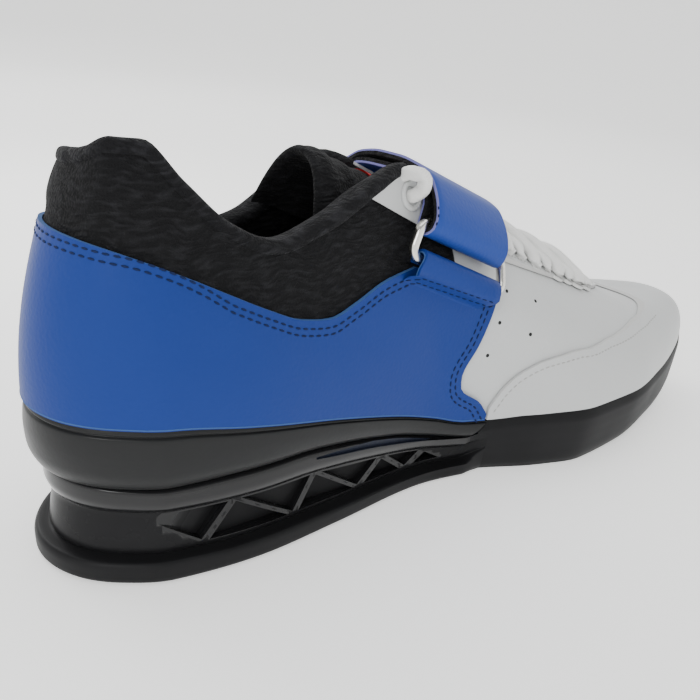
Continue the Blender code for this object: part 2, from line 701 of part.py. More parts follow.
def tube(name, points, diameter, made_of, closed=False, sides=2):
    """A round wire or cord along points."""
    curve = bpy.data.curves.new(name, "CURVE")
    curve.dimensions = "3D"
    curve.bevel_depth = diameter / 2 * MILLIMETRE
    curve.bevel_resolution = sides
    curve.use_fill_caps = not closed
    line = curve.splines.new("POLY")
    line.points.add(len(points) - 1)
    for place, point in zip(line.points, points):
        place.co = (*(Vector(point) * MILLIMETRE), 1.0)
    line.use_cyclic_u = closed
    curve.materials.append(made_of)
    item = bpy.data.objects.new(name, curve)
    bpy.data.collections[COLLECTION].objects.link(item)
    return item


def make_ring():
    """A rounded rectangle of wire that the strap folds through."""
    upper, lower = np.array(RING_UPPER_BAR), np.array(RING_LOWER_BAR)
    middle, half_high = (upper + lower) / 2, (upper - lower) / 2
    tall = np.linalg.norm(half_high)
    reach = RING_LENGTH / 2 - RING_CORNER
    points = []
    for turn, (side, top) in enumerate(((1, 1), (-1, 1), (-1, -1), (1, -1))):
        for angle in np.radians(np.linspace(turn * 90.0, turn * 90.0 + 90.0, 4)):
            along = side * reach + RING_CORNER * math.cos(angle)
            high = top * (tall - RING_CORNER) + RING_CORNER * math.sin(angle)
            y, rise = middle + half_high / tall * high
            points.append(strap_frame(along, y, rise))
    tube("ring", points, RING_WIRE, material("polished_steel", (0.72, 0.71, 0.69), 0.2, 1.0), closed=True)


def pockets():
    """Triangles of the sole's truss, between its nodes on the flange and on the rail."""
    shapes = []
    for k in range(len(TRUSS_NODES) - 2):
        corners = []
        for node in range(k, k + 3):
            x = TRUSS_NODES[node]
            high = height("rail_low", x) - POCKET_MARGIN
            low = height("recess_low", x) + POCKET_MARGIN
            corners.append((x, low if node % 2 else high))
        corners = np.array(corners)
        middle = corners.mean(axis=0)
        reach = np.linalg.norm(corners - middle, axis=1).min()
        shapes.append(middle + (corners - middle) * (1 - TRUSS_RIB / reach))
    return shapes


def cut_pockets(outsole):
    points, faces = [], []
    for side in (-1, 1):
        for shape in pockets():
            x = shape[:, 0].mean()
            station = math.acos(-x / (LENGTH / 2))
            skin = edge(station if side < 0 else -station, RECESS_INSET)[1]
            start = len(points)
            for reach in (skin + side * POCKET_REACH, skin - side * POCKET_DEPTH):
                points += [(px, reach, pz) for px, pz in shape]
            faces += [[start, start + 1, start + 2], [start + 5, start + 4, start + 3]]
            for k in range(3):
                after = (k + 1) % 3
                faces.append([start + k, start + 3 + k, start + 3 + after, start + after])
    cut(outsole, cutter("pocket_cutter", points, faces), "DIFFERENCE")


def lace_end(x, side):
    """A place on the eyestay beside the throat, and the way its surface climbs to the throat."""
    station = math.acos(-x / (LENGTH / 2))
    angle = station if side < 0 else 2 * math.pi - station
    step = 0.01
    along = upper_point(angle + step, LACE_UP) - upper_point(angle - step, LACE_UP)
    climb = unit(upper_point(angle, LACE_UP + step) - upper_point(angle, LACE_UP - step))
    return upper_point(angle, LACE_UP) + unit(np.cross(along, climb)) * LACE_LIFT, climb


def lace_run(start_x, end_x, side, raised):
    """Over the tongue from one edge of the throat to the other, raised in the middle."""
    start, first_way = lace_end(start_x, side)
    end, last_way = lace_end(end_x, -side)
    s = np.linspace(0.0, 1.0, 9)[:, None]
    first, last = start + first_way * LACE_REACH, end + last_way * LACE_REACH
    run = start * (1 - s) ** 3 + first * 3 * s * (1 - s) ** 2 + last * 3 * s * s * (1 - s) + end * s**3
    run[:, 2:] += raised * np.sin(math.pi * s) ** 2
    return run


def flat_cord(name, points, made_of):
    """A flat lace with rounded sides along points."""
    along = unit(np.gradient(points, axis=0))
    across = unit(np.cross(along, np.array(LACE_OUTWARD)))
    up = np.cross(across, along)
    turns = np.radians(np.arange(0.0, 360.0, 45.0) + 22.5)
    loops = []
    for turn in turns:
        wide = np.sign(math.cos(turn)) * abs(math.cos(turn)) ** LACE_SQUARENESS * LACE_WIDTH / 2
        thick = math.sin(turn) * LACE_THICK / 2
        loops.append(points + across * wide + up * thick)
    rings = np.stack(loops, axis=1)
    count = len(turns)
    faces = [face[::-1] for face in side_faces(len(rings), count, True)]
    faces += [list(range(count)), list(range((len(rings) - 1) * count, len(rings) * count))[::-1]]
    return make_object(name, rings.reshape(-1, 3), faces, made_of)


def make_laces():
    white = material("white_lace", (0.85, 0.85, 0.84), 0.7)
    apart = LACE_WIDTH / 2 + GAP
    for number, (back, front) in enumerate(zip(LACE_STATIONS, LACE_STATIONS[1:]), start=1):
        ends = (back + apart, front - apart)
        under = flat_cord(f"lace_cross_{number}", lace_run(*ends, -1, 0.0), white)
        over = flat_cord(f"lace_over_{number}", lace_run(*ends, 1, LACE_THICK / 2), white)
        over.hide_render = True
        over.display_type = "WIRE"
        bpy.data.collections[COLLECTION].objects.unlink(over)
        bpy.data.collections["cutters"].objects.link(over)
        cut(under, over, "UNION")
    bar = LACE_STATIONS[-1] + apart
    flat_cord("lace_bar", lace_run(bar, bar, -1, 0.0) - (0.0, 0.0, LACE_BAR_DROP), white)


def main():
    for item in list(bpy.data.objects):
        bpy.data.objects.remove(item, do_unlink=True)
    for name in (COLLECTION, "cutters"):
        made = bpy.data.collections.new(name)
        bpy.context.scene.collection.children.link(made)
    cut_pockets(make_outsole())
    make_midsole()
    make_insole()
    make_upper()
    make_counter()
    make_toe_guard()
    make_eyestay()
    make_tongue()
    make_strap()
    make_ring_tab()
    make_ring()
    make_laces()


main()
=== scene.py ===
"""Looks of a left weightlifting shoe: knit, leather, foam, rubber, laces and their stitching."""

import math

import bmesh
import bpy
import numpy as np
from mathutils import Matrix, Vector
from mathutils.bvhtree import BVHTree
from mathutils.kdtree import KDTree


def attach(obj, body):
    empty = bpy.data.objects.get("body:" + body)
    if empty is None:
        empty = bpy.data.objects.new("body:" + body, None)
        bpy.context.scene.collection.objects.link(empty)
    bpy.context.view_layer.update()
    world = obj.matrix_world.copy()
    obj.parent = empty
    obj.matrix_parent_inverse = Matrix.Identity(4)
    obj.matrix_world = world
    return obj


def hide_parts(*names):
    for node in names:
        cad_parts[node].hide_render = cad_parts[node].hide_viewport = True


bl_info = {
    "name": "Weightlifting shoe",
    "version": (1, 0, 0),
    "blender": (4, 5, 0),
    "location": "3D View > Sidebar > Shoe",
    "description": "Builds the visible pieces of a weightlifting shoe",
    "category": "Object",
}

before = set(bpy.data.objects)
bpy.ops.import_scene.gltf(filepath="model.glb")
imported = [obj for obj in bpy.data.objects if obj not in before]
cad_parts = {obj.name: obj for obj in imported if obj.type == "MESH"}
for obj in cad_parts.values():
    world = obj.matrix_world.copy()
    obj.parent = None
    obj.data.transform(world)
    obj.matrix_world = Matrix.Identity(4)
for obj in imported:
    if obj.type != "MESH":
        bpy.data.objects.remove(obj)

# Tables and sizes are in millimetres, and every mesh is made in metres
MILLIMETRE = 0.001

# Driving sizes of the shoe
LENGTH = 293.0
GAP = 0.35
TOE_SPRING = 19.0
SPRING_START = 42.0
STEP_X = 7.5

# Fine stations round the shoe, from the heel along the medial side, and fine steps up the upper
STATION_STEP = 1.5
ANGLES = np.radians(np.arange(0.0, 360.0, STATION_STEP))
FINE_UP = np.concatenate([np.linspace(0.0, 0.7, 22), np.linspace(0.72, 1.0, 15)])

# Walls, insets from the sole's edge, and where the throat and the collar's padding end
WALL = 2.0
COLLAR_WALL = 6.5
FEATHER_INSET = 1.9
HEEL_FLUSH = 0.5
CUP_LIP_INSET = 2.8
CUP_FLOOR_INSET = 4.6
OVERLAY_WALL = 1.2
TOE_GUARD_WALL = 0.9
INSOLE_WALL = 4.0
INSOLE_PLAY = 0.8
THROAT_FRONT_T = 0.82
COLLAR_FRONT_T = 0.435

# Plan of the sole's outer edge: half widths from the centre line at fractions of the length
OUTLINE_COLUMNS = ("t", "medial", "lateral")
OUTLINE = (
    (0.00, 0.0, 0.0),
    (0.02, -17.0, 17.0),
    (0.05, -25.0, 26.0),
    (0.10, -32.0, 33.0),
    (0.20, -35.0, 37.0),
    (0.30, -32.8, 38.0),
    (0.43, -29.3, 41.5),
    (0.50, -32.2, 46.0),
    (0.60, -44.5, 53.0),
    (0.67, -50.0, 55.0),
    (0.75, -49.5, 51.0),
    (0.84, -43.5, 39.0),
    (0.90, -37.5, 30.0),
    (0.95, -30.5, 19.0),
    (0.98, -23.0, 9.5),
    (1.00, -6.0, -6.0),
)

# Side heights of the sole along its length
HEIGHT_COLUMNS = ("x", "recess_low", "rail_low", "midsole_low", "footbed", "rim")
HEIGHTS = (
    (-145.0, 8.5, 21.5, 31.0, 37.5, 51.0),
    (-118.0, 8.5, 21.5, 30.0, 37.0, 50.0),
    (-96.0, 8.0, 21.5, 30.5, 36.5, 46.5),
    (-78.0, 8.0, 21.5, 30.5, 35.5, 43.0),
    (-58.0, 7.5, 20.0, 28.5, 32.5, 38.5),
    (-34.0, 7.0, 16.0, 23.5, 27.5, 32.0),
    (-16.0, 6.5, 13.0, 18.5, 22.5, 26.5),
    (-2.0, 6.5, 11.0, 15.2, 19.0, 22.5),
    (8.0, 6.5, 10.5, 14.0, 17.0, 22.0),
    (22.0, 6.5, 10.5, 14.0, 15.0, 23.3),
    (47.0, 6.5, 10.5, 13.0, 13.5, 23.7),
    (72.0, 6.5, 10.5, 13.0, 13.5, 24.0),
    (97.0, 8.5, 12.5, 15.0, 16.0, 25.5),
    (120.0, 13.0, 17.0, 19.0, 20.5, 28.5),
    (145.0, 21.5, 25.5, 28.0, 27.5, 33.5),
)

# Rows of the outsole's side, from its bottom edge up. rough is the finish of its rubber.
SIDE_COLUMNS = (
    "heel_from", "heel_rise", "heel_inset", "heel_tuck",
    "fore_share", "fore_inset", "heel_rough", "fore_rough",
)
OUTSOLE_SIDE = (
    ("ground", 0.0, 1.4, 1.2, 0.00, 4.2, 0.42, 0.48),
    ("ground", 1.5, 0.2, 1.2, 0.10, 3.0, 0.42, 0.38),
    ("ground", 5.0, 0.0, 1.2, 0.30, 2.0, 0.40, 0.46),
    ("recess_low", -1.5, 0.6, 1.5, 0.45, 1.3, 0.34, 0.46),
    ("recess_low", -0.9, 4.7, 1.5, 0.50, 1.1, 0.30, 0.46),
    ("recess_low", 0.5, 4.2, 1.5, 0.55, 0.9, 0.24, 0.46),
    ("rail_low", -0.5, 4.6, 2.5, 0.65, 0.5, 0.20, 0.46),
    ("rail_low", 0.8, 2.6, 3.4, 0.75, 0.2, 0.12, 0.46),
    ("rail_low", 4.5, 1.3, 3.4, 0.84, 0.0, 0.11, 0.46),
    ("midsole_low", -1.2, 2.2, 2.6, 0.94, 0.7, 0.14, 0.46),
    ("midsole_low", -GAP, 3.8, 1.5, 1.00, 1.3, 0.20, 0.46),
)
SIDE_STEPS = 5

# How far the sole tucks in under the toe and at the heel, and its inner cup
TOE_TUCK = 0.7
TOE_TUCK_FROM, TOE_TUCK_TO = 70.0, 125.0
HEEL_TUCK_POWER = 6
SOLE_CUP = (("rim", 5.2, CUP_LIP_INSET), ("footbed", 6.6, CUP_FLOOR_INSET))

# Rows of the midsole's side, as shares of its height, from its lower edge to its lip
MIDSOLE_STEPS = 6
MIDSOLE_END = 0.5
MIDSOLE_SIDE = (
    (0.00, 4.4), (0.05, 2.8), (0.30, 0.5), (0.60, 0.0), (0.86, 0.5), (0.90, 1.2), (0.93, 0.7), (1.00, 1.2),
)

# Sections of the upper, one for each station of the feather line
SECTION_COLUMNS = (
    "t", "top_x", "medial_y", "lateral_y", "medial_z", "lateral_z",
    "low_lean", "top_angle", "low_pull", "top_pull",
)
SECTIONS = (
    (0.000, -131.0, 0.0, 0.0, 119.5, 119.5, 1.0, 76.0, 0.42, 0.32),
    (0.020, -129.5, -9.0, 8.5, 122.0, 118.5, 1.0, 76.0, 0.42, 0.32),
    (0.050, -126.5, -14.5, 13.5, 124.8, 117.3, 2.0, 76.0, 0.42, 0.33),
    (0.100, -119.5, -18.5, 18.5, 124.5, 115.5, 3.0, 76.0, 0.42, 0.35),
    (0.150, -110.5, -22.5, 22.5, 114.5, 108.5, 4.0, 76.0, 0.40, 0.35),
    (0.220, -98.5, -26.0, 25.5, 103.0, 95.5, 4.0, 77.0, 0.40, 0.35),
    (0.300, -82.0, -27.5, 27.0, 96.5, 88.0, 3.0, 78.0, 0.40, 0.35),
    (0.360, -65.0, -26.5, 27.0, 101.5, 91.0, 4.0, 72.0, 0.40, 0.35),
    (0.420, -47.5, -23.5, 25.0, 110.0, 101.5, 5.0, 64.0, 0.40, 0.35),
    (0.455, -35.0, -19.0, 20.5, 113.5, 110.0, 5.0, 58.0, 0.40, 0.38),
    (0.500, -20.0, -14.5, 15.0, 104.5, 104.5, 5.0, 50.0, 0.42, 0.40),
    (0.560, 2.0, -13.0, 13.0, 92.5, 92.5, 4.0, 44.0, 0.42, 0.42),
    (0.620, 25.0, -12.0, 12.0, 80.5, 80.5, 3.0, 36.0, 0.42, 0.45),
    (0.680, 49.0, -11.0, 11.0, 69.5, 69.5, 2.0, 28.0, 0.42, 0.48),
    (0.740, 71.0, -10.0, 10.0, 60.0, 60.0, 2.0, 20.0, 0.42, 0.50),
    (0.790, 88.0, -7.5, 7.5, 53.5, 53.5, 2.0, 10.0, 0.42, 0.50),
    (0.820, 96.0, 0.0, 0.0, 51.0, 51.0, 2.0, 0.0, 0.42, 0.50),
    (0.860, 101.0, 0.0, 0.0, 49.5, 49.5, 2.0, 0.0, 0.44, 0.50),
    (0.900, 105.5, -1.0, -1.0, 48.3, 48.3, 2.0, 0.0, 0.46, 0.50),
    (0.950, 110.0, -2.0, -2.0, 47.0, 47.0, 2.0, 0.0, 0.48, 0.50),
    (1.000, 114.0, -3.0, -3.0, 46.0, 46.0, 2.0, 0.0, 0.50, 0.50),
)

# Counter: its edge from the side, as (x, z), in stretches that meet at corners
COUNTER_TOP = (
    (-160.0, 102.5), (-143.0, 101.2), (-133.0, 99.5), (-123.5, 96.3), (-112.5, 91.5), (-100.5, 85.5),
    (-87.5, 79.0), (-76.0, 74.2), (-65.0, 72.6), (-55.5, 75.5), (-43.0, 80.5), (-30.5, 83.0),
)
COUNTER_FRONT = ((6.5, 69.0), (-1.5, 53.0), (-7.5, 41.0), (-7.0, 37.0), (2.0, 30.0), (5.5, 25.0))
COUNTER_BOTTOM = ((5.0, 12.0), (-60.0, 12.0), (-160.0, 40.0))
COUNTER_EDGE_ANGLE = math.radians(91.9)

# The collar's padding: how it swells below the edge and thins at it, at shares of the upper's height
COLLAR_SWELL = 0.9
COLLAR_PINCH = 0.5
COLLAR_SWELL_FROM, COLLAR_SWELL_SPAN = 0.70, 0.26

# The binding: how far it swells over the eyestay's end panels, wraps the edge and sits below its top
BINDING_PROUD = 0.8
BINDING_OVER = 0.6
BINDING_SINK = 1.7
BINDING_END_T = 0.487
SEAM_SWELL, SEAM_WIDTH = 0.10, 0.02

# Toe guard: its rear edge from the side, as (x, z)
TOE_GUARD_EDGE = (
    (6.5, 27.0), (10.0, 34.0), (16.0, 40.5), (26.0, 45.0), (45.0, 46.8), (70.0, 46.8), (92.0, 47.2),
    (108.0, 47.6), (112.5, 50.0), (114.0, 60.0),
)
TOE_GUARD_REST = ((160.0, 60.0), (160.0, 12.0), (6.5, 12.0))

# Eyestay: half of its outline from above, as (x, y); its lower side is a plane that falls with x
EYESTAY_REAR = (
    (-27.0, 0.0), (-27.0, 16.5), (-34.0, 18.5), (-40.0, 21.0), (-49.0, 24.0), (-53.0, 27.0), (-50.0, 33.0),
)
EYESTAY_SIDE = (
    (-20.0, 33.0), (-8.0, 25.5), (16.0, 23.0), (36.0, 21.0), (52.0, 19.0), (70.0, 16.5), (86.0, 13.0),
    (97.0, 8.5), (103.0, 3.0), (104.0, 0.0),
)
EYESTAY_LOW_Z = 81.5
EYESTAY_LOW_SLOPE = 0.5

# Tongue: sections along its length as (x, crown, half width, drop, lean, padding), each an arch that
# falls from its crown to its edges. Its free end is rounded by loops of (share, push).
TONGUE_ARC = 78.0
QUILT_FROM, QUILT_PITCH, QUILT_DEPTH = -30.0, 9.0, 0.35
TONGUE_END = ((0.85, 0.9), (0.55, 1.6), (0.15, 1.9))
TONGUE = (
    (84.0, 53.3, 15.0, 9.0, 0.0, 2.5),
    (68.0, 60.1, 18.0, 13.0, 0.0, 3.0),
    (48.0, 68.5, 19.0, 18.0, 0.0, 3.5),
    (25.0, 79.0, 19.5, 21.0, 0.0, 3.5),
    (2.0, 90.5, 19.5, 23.0, 0.0, 3.5),
    (-20.0, 101.5, 19.0, 25.0, 0.0, 4.0),
    (-34.0, 108.0, 17.5, 27.0, 0.05, 5.0),
    (-44.0, 112.3, 18.0, 28.0, 0.1, 6.0),
    (-52.0, 116.2, 19.0, 27.5, 0.2, 6.0),
    (-56.5, 117.5, 18.0, 27.0, 0.25, 4.0),
)

# The tongue's label and its backing, each from and to x
LABEL_ARC = 48.0
LABEL_LIFT, LABEL_WALL = 0.35, 0.8
LABELS = (("tongue_label", -24.0, -32.0, "red"), ("tongue_label_back", -14.0, -23.0, "white"))

# Strap: its width runs down the instep. Paths are (y, rise) from the crown of its outer layer.
STRAP_CROWN = (-2.0, 0.0, 105.7)
STRAP_SLOPE = 23.5
STRAP_SKEW = 0.09
STRAP_WIDTH = 38.0
STRAP_WALL = 2.2
STRAP_FLARE = 0.15
STRAP_FLARE_RISES = (-20.0, -32.0)
STRAP_INNER = (
    (40.9, -41.0), (39.9, -38.0), (38.9, -35.0), (37.7, -31.6), (34.6, -28.2), (32.4, -25.6), (30.8, -22.5),
    (29.6, -19.2), (27.8, -16.0), (25.6, -13.0), (21.8, -8.8), (17.0, -5.8), (8.0, -4.9), (-8.0, -4.6),
    (-17.0, -4.9), (-21.8, -8.0), (-25.6, -13.0),
)
STRAP_OUTER = (
    (-31.4, -13.2), (-27.0, -8.2), (-20.8, -3.9), (-12.0, -1.8), (-4.0, -1.1), (6.0, -1.2), (17.0, -2.9),
    (23.3, -6.6), (27.9, -11.2), (30.5, -14.6), (32.5, -18.2), (33.9, -21.6), (35.4, -24.2), (37.6, -26.8),
)

# Layers of a flat band, from its lining to its outer face, as (share of the wall, how much narrower)
WEBBING_LEVELS = ((0.5, 0.5), (0.44, 0.0), (-0.12, 0.0), (-0.44, 0.0), (-0.5, 0.5))

# Ring and the tab that holds it
RING_WIRE = 3.0
RING_LENGTH = 43.0
RING_CORNER = 4.0
FOLD_PLAY = 0.35
RING_UPPER_BAR = (-30.0, -18.0)
RING_LOWER_BAR = (-34.0, -29.5)
TAB_WIDTH = 36.0
TAB_WALL = 1.4
TAB_INNER = ((-32.0, -30.8),)
TAB_OUTER = ((-37.0, -33.0), (-38.4, -39.0))
TAB_RUN_OUT = (-32.0, -38.4)

# Truss and slot of the sole's side
TRUSS_NODES = (-127.0, -107.0, -97.0, -75.0, -67.0, -47.0, -36.0, -24.0, -15.0, -5.0)
TRUSS_RIB = 1.3
POCKET_MARGIN = 0.4
POCKET_DEPTH = 3.5
POCKET_CUT_REACH = 12.0
RECESS_INSET = 4.4
SLOT = ((-69.0, 27.4), (-49.7, 25.0), (-30.0, 21.1), (-9.5, 16.9), (-4.0, 16.0))
SLOT_HEIGHT = 2.0
SLOT_DEPTH = 1.6
SLOT_STATIONS = 24
SLOT_RAIL_INSET = 1.3
SLOT_CUT_REACH = 5.0

# Laces
LACE_WIDTH = 6.0
LACE_THICK = 2.6
LACE_UP = 0.94
LACE_LIFT = 4.2
LACE_REACH = 9.0
LACE_SUNK = ((0.4, 2.4), (2.2, 2.2))
LACE_TILT = (0.35, 0.0, 0.94)
OVER_LACE = (7.8, 4.4)
OVER_RAISE = 3.8
LACE_BAR_DROP = 0.75
LACE_STATIONS = (21.5, 35.0, 48.5, 61.5, 74.0)
TOP_EYELET = (-31.0, 104.6)
EYELET_RADIUS = 3.9
EYELET_TUBE = 0.9
TOP_LACE = (4.4, 4.2)
LATERAL_LOOP_SHARE = 0.35
TOP_LOOP = (
    (3.0, 2.4, 1.2), (2.4, 5.0, 1.2), (0.4, 7.6, 0.4), (-3.2, 9.2, -0.3), (-7.0, 8.4, -0.6),
    (-9.4, 4.6, -0.6), (-9.8, 0.0, -0.6),
)

# Vent holes of the vamp from the side, as (x, z)
VENT_HOLES = ((12.6, 69.1), (7.7, 59.2), (3.5, 47.7), (26.3, 64.0), (19.8, 54.2))

# Stitches as (length, width, height), how far they lie from an edge, and the rays that find their places
CAST_REACH = 0.2
BOTH_WAYS = ((0, 1, 0), (0, -1, 0))
HEEL_AXIS = -100.0
HEEL_REACH = 45.0
COUNTER_STITCH_DROPS = (2.4, 4.4)
WHITE_STITCH = (1.7, 0.6, 0.4)
WHITE_STITCH_SPACING = 2.3
TOE_GUARD_STITCH_DROP, TOE_GUARD_STITCHES_TO = 2.4, 106.0
EYESTAY_STITCH_DROP, EYESTAY_STITCHES_FROM = 1.8, 14.0
STRAP_STITCH = (1.2, 0.6, 0.3)
STRAP_STITCH_SPACING = 2.2
STRAP_STITCH_INSET, STRAP_STITCH_RISES = 2.5, (-7.5, -17.5)
VENT_DEPTH = 0.16

# Cutters of the panels reach past the shoe
CUTTER_REACH = 80.0
CUTTER_TOP = 140.0

# Creases: from and to, as (x, z), depth and half width
CREASES = (
    ((34.0, 58.0), (46.0, 30.0), 0.55, 3.2),
    ((39.0, 60.0), (52.0, 34.0), -0.35, 3.0),
    ((56.0, 54.0), (62.0, 36.0), 0.40, 3.4),
    ((24.0, 47.0), (48.0, 49.5), 0.30, 1.6),
    ((60.0, 49.5), (86.0, 50.0), 0.30, 1.6),
    ((-62.0, 70.0), (-40.0, 58.0), 0.45, 5.0),
    ((-24.0, 66.0), (-14.0, 44.0), 0.40, 4.0),
    ((-118.0, 78.0), (-96.0, 66.0), 0.35, 6.0),
)

# Camera that matches the photograph, from the model's own frame
CAMERA_PLACE = (-217.8, -223.0, 166.4)
CAMERA_YAW = 0.87245
CAMERA_PITCH = 0.39954
CAMERA_ROLL = 0.08600
CAMERA_LENS = 45.55

# Studio light, and the floor's painted light: its tone at distances in metres from the centre of a painted
# pool of light beyond the shoe, which its emission also makes glow
WORLD_LIGHT = 0.46
SUN_LIGHT = 1.95
SUN_SPREAD = 75.0
SUN_TURN = (-14.0, 8.0, 0.0)
LAMP_TARGET = (0.0, 0.0, 0.05)
LAMPS = (
    ("left_light", (-1.1, -0.7, 0.75), 0.4, 6.0),
    ("rear_light", (-0.4, 1.3, 0.9), 0.8, 8.0),
)
# Painted glow: strength of the floor's emission, in the tones of its painted pool of light
FLOOR_PAINTED_GLOW = 0.84
PAINTED_LIGHT_POOL_CENTRE = (-0.06, 0.36, 0.0)
FLOOR_LEVEL = -0.0002
FLOOR_HALF = 30.0
FLOOR_FLAT = 4.0
FLOOR_RISE = 0.12
FLOOR_PAINTED_LIGHT_TONES = ((0.0, 1.0), (0.10, 1.0), (0.20, 0.92), (0.34, 0.82), (0.60, 0.80), (0.80, 0.74), (1.0, 0.68))

# Colours, as linear values
BLUE = (0.009, 0.034, 0.205)
STRAP_BLUE = (0.016, 0.052, 0.285)
# Painted highlight: the light purple-blue of the strap's cut edges where they catch the light
PURPLE_EDGE_HIGHLIGHT = (0.17, 0.17, 0.42)
RAW_EDGE = (0.05, 0.115, 0.29)
BLACK_KNIT = (0.0057, 0.0057, 0.0064)
WHITE = (0.565, 0.575, 0.575)
LACE_WHITE = (0.90, 0.90, 0.88)
BINDING_BLACK = (0.008, 0.008, 0.009)
LINING_BLACK = (0.012, 0.012, 0.013)
LOOP_BLACK = (0.006, 0.006, 0.007)
RUBBER_BLACK = (0.0085, 0.0085, 0.0092)
FOAM_GREY = (0.011, 0.0115, 0.012)
LABEL_RED = (0.42, 0.02, 0.02)
CUT_WHITE = (0.55, 0.55, 0.54)
BLUE_THREAD = (0.006, 0.014, 0.060)
WHITE_THREAD = (0.42, 0.42, 0.41)
SLOT_NAVY = (0.012, 0.016, 0.030)
STEEL = (0.78, 0.76, 0.71)
PARTING_BLACK = (0.003, 0.003, 0.003)
# Painted shade inside the vent holes
HOLE_SHADE = (0.01, 0.01, 0.01)
PAPER = (0.80, 0.80, 0.79)
SKY = (0.97, 0.99, 1.0)


# Curves and surfaces

def smooth(stations, values, at):
    """A cubic through rows of values that never swings past them."""
    stations = np.asarray(stations, float)
    values = np.asarray(values, float)
    wide = (slice(None),) + (None,) * (values.ndim - 1)
    steps = np.diff(stations)[wide]
    slopes = np.diff(values, axis=0) / steps
    inner = np.zeros_like(slopes[1:])
    before, after = slopes[:-1], slopes[1:]
    rising = before * after > 0
    inner[rising] = 2 * before[rising] * after[rising] / (before[rising] + after[rising])
    tangents = np.concatenate([slopes[:1], inner, slopes[-1:]])
    at = np.asarray(at, float)
    cell = np.clip(np.searchsorted(stations, at, side="right") - 1, 0, len(slopes) - 1)
    step = np.diff(stations)[cell]
    s = (at - stations[cell]) / step
    if values.ndim > 1:
        s, step = s[wide], step[wide]
    return (
        values[cell] * (1 + 2 * s) * (1 - s) ** 2
        + tangents[cell] * step * s * (1 - s) ** 2
        + values[cell + 1] * s * s * (3 - 2 * s)
        - tangents[cell + 1] * step * s * s * (1 - s)
    )


def column(table, names, name):
    return np.array([row[names.index(name)] for row in table])


def length_share(angle):
    """0 at the heel and 1 at the toe."""
    return (1 - np.cos(angle)) / 2


def around(table, names, medial, lateral, angle):
    """Reads two columns as one closed curve: along the medial side to the toe, back on the lateral."""
    half = np.arccos(1 - 2 * column(table, names, "t"))
    near = column(table, names, medial)
    far = column(table, names, lateral)
    angles = np.concatenate([half, 2 * math.pi - half[-2:0:-1]])
    values = np.concatenate([near, far[-2:0:-1]])
    angles = np.concatenate([angles[-2:] - 2 * math.pi, angles, angles[:2] + 2 * math.pi])
    values = np.concatenate([values[-2:], values, values[:2]])
    return smooth(angles, values, np.mod(angle, 2 * math.pi))


def blend(low, high, at):
    """Goes softly from 0 at low to 1 at high."""
    s = np.clip((at - low) / (high - low), 0.0, 1.0)
    return s * s * (3 - 2 * s)


def unit(vectors):
    return vectors / np.linalg.norm(vectors, axis=-1, keepdims=True)


def outline_point(angle):
    across = around(OUTLINE, OUTLINE_COLUMNS, "medial", "lateral", angle)
    return np.stack([-LENGTH / 2 * np.cos(angle), across - SIDE_SHIFT], axis=-1)


def edge(angle, inset):
    """Points of the sole's outer edge, moved inwards."""
    step = 0.002
    along = unit(outline_point(angle + step) - outline_point(angle - step))
    inward = np.stack([-along[..., 1], along[..., 0]], axis=-1)
    return outline_point(angle) + inward * np.asarray(inset)[..., None]


SIDE_SHIFT = 0.0
FINE = np.linspace(0.0, 2 * math.pi, 1441)
SIDE_SHIFT = float(outline_point(FINE)[:, 1].max() + outline_point(FINE)[:, 1].min()) / 2


def ground(x):
    share = np.clip((x - SPRING_START) / (LENGTH / 2 - SPRING_START), 0.0, 1.0)
    return TOE_SPRING * share**2


def height(name, x):
    if name == "ground":
        return ground(x)
    stations = column(HEIGHTS, HEIGHT_COLUMNS, "x")
    return smooth(stations, column(HEIGHTS, HEIGHT_COLUMNS, name), x)


def side_angle(x, side):
    """The angle round the shoe at which the outline reaches x, on the medial (-1) or lateral (1) side."""
    station = math.acos(-x / (LENGTH / 2))
    return np.array(station if side < 0 else 2 * math.pi - station)


def with_height(flat, z):
    return np.concatenate([flat, np.broadcast_to(z, flat.shape[:-1])[..., None]], axis=-1)


def section_value(name, angle):
    return around(SECTIONS, SECTION_COLUMNS, name, name, angle)


def top_line(angle):
    across = around(SECTIONS, SECTION_COLUMNS, "medial_y", "lateral_y", angle)
    up = around(SECTIONS, SECTION_COLUMNS, "medial_z", "lateral_z", angle)
    return np.stack([section_value("top_x", angle), across, up], axis=-1)


def feather_inset(angle):
    heel = (1 + np.cos(angle)) / 2
    return FEATHER_INSET - HEEL_FLUSH * heel**4


def feather_line(angle):
    flat = edge(angle, feather_inset(angle))
    return with_height(flat, height("rim", flat[..., 0]) + GAP)


def top_slope(angle):
    """Fall of the ridge in front of the throat, where both halves of the upper meet."""
    step = 0.01
    fold = np.clip(np.arccos(np.cos(angle)), math.pi / 2, math.pi - step)
    ahead, behind = section_value("top_x", fold + step), section_value("top_x", fold - step)
    rise = section_value("medial_z", fold + step) - section_value("medial_z", fold - step)
    return rise / (ahead - behind) * blend(0.74, THROAT_FRONT_T, length_share(angle))


